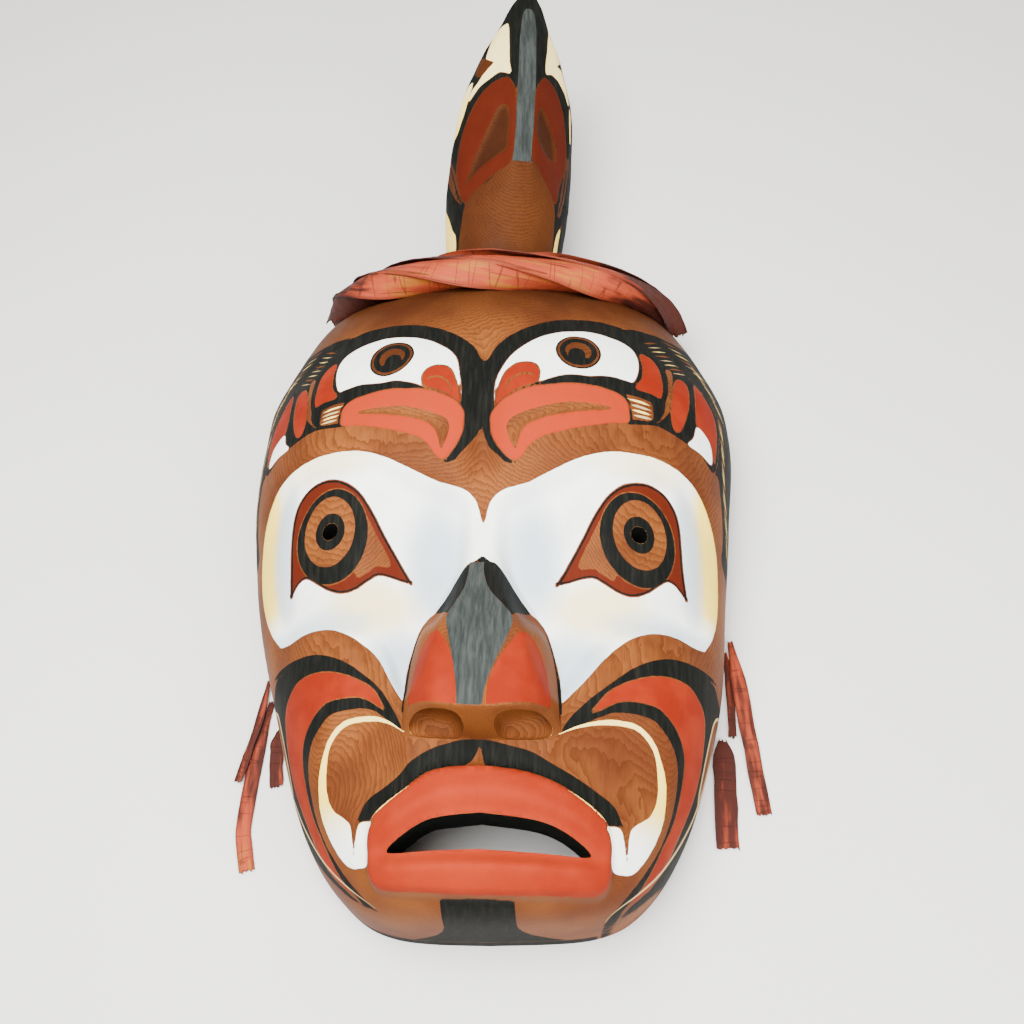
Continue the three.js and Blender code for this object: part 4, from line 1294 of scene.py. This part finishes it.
def bark_strips():
    """Every strip of bark, each in place of its CAD node."""
    made = []
    for number, tone_and_shade in enumerate(BAND_TONES_AND_SHADE, 1):
        route, facing = band_route(number - 1)
        slim = 0.62 + 0.38 * towards_ends(np.linspace(0, 1, len(route)))
        strip = ribbon(
            f"band_bark_{number}", route, facing, (BAND_STRIP_WIDTH + BAND_SPREAD) * slim, number, tone_and_shade,
            BAND_TORN, BAND_CURL, BAND_TILT,
        )
        made.append((strip, f"band_strip_{number}"))
    for seed, (name, (width, tone_and_shade, points)) in enumerate(HANGING.items(), 11):
        route = spline(points, 4)
        facing = np.tile([0.0, 0.0, 1.0], (len(route), 1))
        widths = width * (0.35 + 0.65 * smooth(np.linspace(0, 1, len(route)) / 0.3))
        strip = ribbon(f"hanging_bark_{name}", route, facing, widths, seed, tone_and_shade, HANGING_TORN)
        made.append((strip, f"hanging_strip_{name}"))
    return made


# Materials

WOOD = "#592e17"
WOOD_LIGHT = "#79451f"
WOOD_RING = "#3d1c0c"
RED = "#741c0b"
RED_LIGHT = "#822611"
# Brownish red of the lids, and the painted shade of the crest's reds
RED_WORN_AND_SHADED = "#4e1a0d"
# Salmon paint on the beak, also the painted highlight on the lips
SALMON_AND_HIGHLIGHT = "#952e15"
BLACK = "#0e0f0d"
BLACK_LIGHT = "#191a17"
# Painted sheen: the paler black of flat fronts that face the light
SHEEN_GREY = "#262927"
SHEEN_GREY_LIGHT = "#3b403e"
WHITE = "#fafaf4"
WHITE_WORN = "#f2f3ec"
CREAM_TINT = "#f0cf55"
# The colour of the painted shadow on the whites
COOL_SHADOW_TINT = "#a9b9c3"
LIGHT_LINE = "#eecf74"
PALE_LINE = "#b89f70"
# The colour of painted shade, and of the darker wood round the bird's eyes
SHADE = "#26120a"
BARK = "#96391e"
BARK_DARK = "#3a1309"
BARK_OCHRE = "#96531a"
BARK_FIBRE = "#4a1b0e"
BARK_PALE = "#b45a36"
# The dark of splits and cracks, and of the painted shade along the strips' edges
BARK_SPLIT_AND_SHADE = "#2c0e07"
FLOOR = "#d6d4d0"
FLOOR_LIGHT = "#dddbd7"
ROOM = "#f2f2f0"
# In metres: how far the heart of the tree lay to the side of the mask's middle and behind its back
HEART = (0.02, 0.09)
RINGS_PER_METRE = 1150.0
BUMP_DEPTH = 0.0004


def linear(code):
    """A linear colour from its sRGB hex code."""
    parts = [int(code[k:k + 2], 16) / 255 for k in (1, 3, 5)]
    return (*[p / 12.92 if p <= 0.04045 else ((p + 0.055) / 1.055) ** 2.4 for p in parts], 1)


class Value:
    """What a node gives out. Sums, differences, products and powers of values are nodes too."""

    def __init__(self, nodes, socket):
        self.nodes = nodes
        self.socket = socket

    def __add__(self, other):
        return self.nodes.math("ADD", self, other)

    def __sub__(self, other):
        return self.nodes.math("SUBTRACT", self, other)

    def __rsub__(self, other):
        return self.nodes.math("SUBTRACT", other, self)

    def __mul__(self, other):
        return self.nodes.math("MULTIPLY", self, other)

    def __pow__(self, other):
        return self.nodes.math("POWER", self, other)


class Nodes:
    """A short way to write a material's nodes."""

    def __init__(self, name):
        self.material = bpy.data.materials.new(name)
        self.material.use_nodes = True
        self.tree = self.material.node_tree
        self.shader = self.tree.nodes["Principled BSDF"]

    def put(self, kind, inputs, output=0, **settings):
        node = self.tree.nodes.new(kind)
        for key, value in settings.items():
            setattr(node, key, value)
        for key, value in inputs.items():
            self.set(node, key, value)
        return Value(self, node.outputs[output])

    def set(self, node, key, value):
        """Links a value, or sets a number, a vector or the hex code of a colour."""
        if isinstance(value, Value):
            self.tree.links.new(value.socket, node.inputs[key])
        else:
            node.inputs[key].default_value = linear(value) if isinstance(value, str) else value

    def math(self, operation, *values):
        return self.put("ShaderNodeMath", dict(enumerate(values)), operation=operation)

    def value(self, name):
        return self.put("ShaderNodeAttribute", {}, 2, attribute_name=name)

    def place(self):
        return self.put("ShaderNodeTexCoord", {}, 3)

    def mix(self, factor, a, b):
        return self.put("ShaderNodeMix", {0: factor, 6: a, 7: b}, 2, data_type="RGBA")

    def noise(self, vector, scale, detail=2.0, roughness=0.5):
        inputs = {"Vector": vector, "Scale": scale, "Detail": detail, "Roughness": roughness}
        return self.put("ShaderNodeTexNoise", inputs)

    def ramp(self, value, low, high):
        """0 below low and 1 above high, with a soft step between."""
        inputs = {"Value": value, "From Min": low, "From Max": high}
        return self.put("ShaderNodeMapRange", inputs, interpolation_type="SMOOTHSTEP")

    def scaled(self, vector, scale):
        return self.put("ShaderNodeMapping", {"Vector": vector, "Scale": scale})

    def surface(self, colour, roughness, specular, height=None, strength=0.0):
        """The finished material; height is how its grain stands up."""
        self.set(self.shader, "Base Color", colour)
        self.set(self.shader, "Roughness", roughness)
        self.set(self.shader, "Specular IOR Level", specular)
        if height is not None:
            inputs = {"Strength": strength, "Distance": BUMP_DEPTH, "Height": height}
            self.set(self.shader, "Normal", self.put("ShaderNodeBump", inputs))
        return self.material


def painted_cedar():
    n = Nodes("painted_cedar")
    place = n.place()
    x, z = (n.put("ShaderNodeSeparateXYZ", {0: place}, k) for k in (0, 2))

    # Growth rings round the heart of the tree, along the mask, rippled by the knife's cuts
    wander = n.noise(n.scaled(place, (1, 0.3, 1)), 16.0, 3.0)
    ripple = n.noise(n.scaled(place, (1, 0.45, 1)), 330.0, 1.0)
    radius = n.math("SQRT", (x + HEART[0]) ** 2.0 + (z + HEART[1]) ** 2.0)
    ring = n.math("FRACT", radius * RINGS_PER_METRE + wander * 6.0 + ripple * 1.1) ** 1.6
    fibre = n.noise(n.scaled(place, (1, 0.06, 1)), 900.0, 3.0, 0.6)
    wood = n.mix(n.ramp(n.noise(place, 22.0, 3.0), 0.3, 0.7), WOOD, WOOD_LIGHT)
    wood = n.mix(ring * 0.6, wood, WOOD_RING)
    wood = n.mix(n.ramp(fibre, 0.45, 0.75) * 0.35, wood, WOOD_RING)
    # Painted shade darkens wood and red up the forehead, over the crest and in its slots
    shaded = n.value("shade") * 0.68
    wood = n.mix(shaded, wood, SHADE)

    # Each paint shows where its field says so, with an edge that wavers as a brush does
    waver = (n.noise(place, 260.0, 2.0) - 0.5) * 0.5
    streak = n.noise(n.scaled(place, (1, 0.1, 0.2)), 520.0, 3.0, 0.65)
    blot = n.noise(place, 60.0, 3.0)

    def shown(name):
        return n.ramp(n.value(name) + waver, 0.1, 0.4)

    def drawn(name):
        """Where a brush line shows, from its signed distance in half widths."""
        offset = n.math("ABSOLUTE", n.value(name + "_across") + waver)
        return (1.0 - n.ramp(offset, 0.8, 1.2)) * (1.0 - n.ramp(n.value(name + "_near"), 0.5, 0.8))

    def thin(amount):
        """How much of a paint's colour is left where the brush ran dry."""
        return 1.0 - n.ramp(streak, 0.5, 0.85) * amount

    red = n.mix(n.ramp(blot, 0.3, 0.75), RED, RED_LIGHT)
    # Salmon on the beak; on the lips the same lighter red is a painted highlight
    red = n.mix(n.value("salmon_and_highlight"), red, SALMON_AND_HIGHLIGHT)
    # Brownish red on the lids; on the crest the same darker red is painted shade
    red = n.mix(n.value("worn_and_shaded"), red, RED_WORN_AND_SHADED)
    red = n.mix(shaded * 0.85, red, SHADE)
    white = n.mix(n.ramp(blot, 0.35, 0.7), WHITE_WORN, WHITE)
    white = n.mix(n.value("cream"), white, CREAM_TINT)
    # Painted bluish shadow on the whites beside the nose and the eyes
    white = n.mix(n.value("cool_shadow") * 0.85, white, COOL_SHADOW_TINT)
    black = n.mix(n.ramp(streak, 0.35, 0.8), BLACK, BLACK_LIGHT)
    # Painted sheen on the nose's front and the crest's keel, streaked as by the brush
    grey_sheen = n.mix(n.ramp(streak, 0.3, 0.75), SHEEN_GREY, SHEEN_GREY_LIGHT)
    colour = wood
    painted = 0.0
    coats = (
        ("black", shown, black, 0.04), ("grey_sheen", shown, grey_sheen, 0.1), ("red", shown, red, 0.16),
        ("white", shown, white, 0.08), ("black", drawn, black, 0.1), ("light", drawn, LIGHT_LINE, 0.1),
        ("pale", drawn, PALE_LINE, 0.1),
    )
    for name, extent, coat, dry in coats:
        mask = extent(name) * thin(dry)
        colour = n.mix(mask, colour, coat)
        painted = n.math("MAXIMUM", painted, mask)
    colour = n.mix(drawn("bare"), colour, wood)
    colour = n.mix(n.value("wall"), colour, BLACK)
    height = ring * -0.5 + fibre * 0.6 + painted * 0.4 + streak * 0.3 + ripple
    return n.surface(colour, painted * 0.12 + 0.5, 0.03, height, 0.35)


def cedar_bark():
    n = Nodes("cedar_bark")
    flat = n.put("ShaderNodeCombineXYZ", {0: n.value("across"), 1: n.value("run"), 2: 0.0})
    fibre = n.noise(n.scaled(flat, (1, 0.03, 1)), 1.9, 4.0, 0.65)
    split = n.noise(n.scaled(flat, (1, 0.02, 1)), 0.75, 2.0)
    broad = n.noise(n.scaled(flat, (1, 0.16, 1)), 0.26, 2.0)
    # Cracks across the strip, along the levels of a noise that is stretched across it
    bend = n.noise(n.scaled(flat, (0.08, 1, 1)), 0.1, 1.0)
    crack = 1.0 - n.ramp(n.math("ABSOLUTE", n.math("FRACT", bend * 3.0) - 0.5), 0.0, 0.05)
    # Brightness along a strip: the bark's own tone, and painted shade towards the band's ends
    tone_and_shade = n.value("tone_and_shade") + (broad - 0.5) * 1.8
    bright = n.ramp(tone_and_shade, -0.1, 0.6)
    colour = n.mix(bright, BARK_DARK, BARK)
    colour = n.mix(n.ramp(tone_and_shade, 0.75, 1.15), colour, BARK_OCHRE)
    colour = n.mix(n.ramp(fibre, 0.5, 0.8) * 0.5, colour, BARK_FIBRE)
    colour = n.mix((1.0 - n.ramp(fibre, 0.25, 0.5)) * 0.3 * bright, colour, BARK_PALE)
    # Dark splits and cracks in the bark, and painted shade along each strip's edges
    dark = n.math("MAXIMUM", n.ramp(split, 0.66, 0.7), crack * 0.75)
    dark = n.math("MAXIMUM", dark, n.value("edge") * 0.8)
    colour = n.mix(dark * 0.75, colour, BARK_SPLIT_AND_SHADE)
    return n.surface(colour, 0.68, 0.18, fibre - dark, 0.7)


def pale_floor():
    n = Nodes("pale_floor")
    return n.surface(n.mix(n.noise(n.place(), 3.0, 3.0), FLOOR, FLOOR_LIGHT), 0.85, 0.2)


# The camera stands at the photo's angle, over the lying mask

FIELD_OF_VIEW = math.radians(49.93)
CAMERA_PLACE = (31.8, -94.3, 621.7)
CAMERA_TURN = tuple(math.radians(a) for a in (29.590, 1.825, 0.115))
# The lamps, in metres and watts: where each stands, what it is turned to, its size and its power
LAMPS = {
    "key": ((-0.18, 0.03, 1.05), (0, 0.12, 0.05), 0.7, 40),
    "fill": ((0.6, -0.6, 0.8), (0, 0.03, 0.05), 0.9, 20),
    "top": ((0.2, 1.1, 1.2), (0, 0.22, 0.05), 1.0, 8),
}
ROOM_LIGHT = 0.6
# The floor lies just under the rim
FLOOR_LEVEL = -0.4
FLOOR_REACH = 6000
SHARP_ANGLE = math.radians(50)


def stand(name, data, place, turn):
    holder = bpy.data.objects.new(name, data)
    holder.location = place
    holder.rotation_euler = turn
    bpy.context.scene.collection.objects.link(holder)
    return holder


def photographer():
    camera = bpy.data.cameras.new("camera")
    camera.sensor_fit = "HORIZONTAL"
    camera.angle = FIELD_OF_VIEW
    bpy.context.scene.camera = stand("camera", camera, Vector(CAMERA_PLACE) * MM, CAMERA_TURN)


def studio():
    for name, (place, target, size, power) in LAMPS.items():
        light = bpy.data.lights.new(name, "AREA")
        light.shape = "DISK"
        light.size = size
        light.energy = power
        aim = (Vector(target) - Vector(place)).to_track_quat("-Z", "Y").to_euler()
        stand(name, light, place, aim)
    world = bpy.data.worlds.new("room")
    world.use_nodes = True
    background = world.node_tree.nodes["Background"]
    background.inputs["Color"].default_value = linear(ROOM)
    background.inputs["Strength"].default_value = ROOM_LIGHT
    bpy.context.scene.world = world
    ends = (-FLOOR_REACH, FLOOR_REACH)
    corners = [(x, y, FLOOR_LEVEL) for y in ends for x in ends]
    floor = add("floor", corners, [(0, 1, 3, 2)])
    floor.data.materials.append(pale_floor())


def dress():
    cedar, bark = painted_cedar(), cedar_bark()
    front = front_surface()
    pieces = [(mask_shell(front, back_surface()), "mask_shell", "painted_cedar", cedar)]
    pieces.append((crest(front), "crest", "painted_cedar", cedar))
    pieces += [(piece, node, "cedar_bark", bark) for piece, node in bark_strips()]
    for piece, node, slot, material in pieces:
        piece.data.materials.clear()
        piece.data.materials.append(material)
        piece.data.shade_smooth()
        piece.data.set_sharp_from_angle(angle=SHARP_ANGLE)
        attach(piece, "root")
        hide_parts(node)


photographer()
studio()
dress()
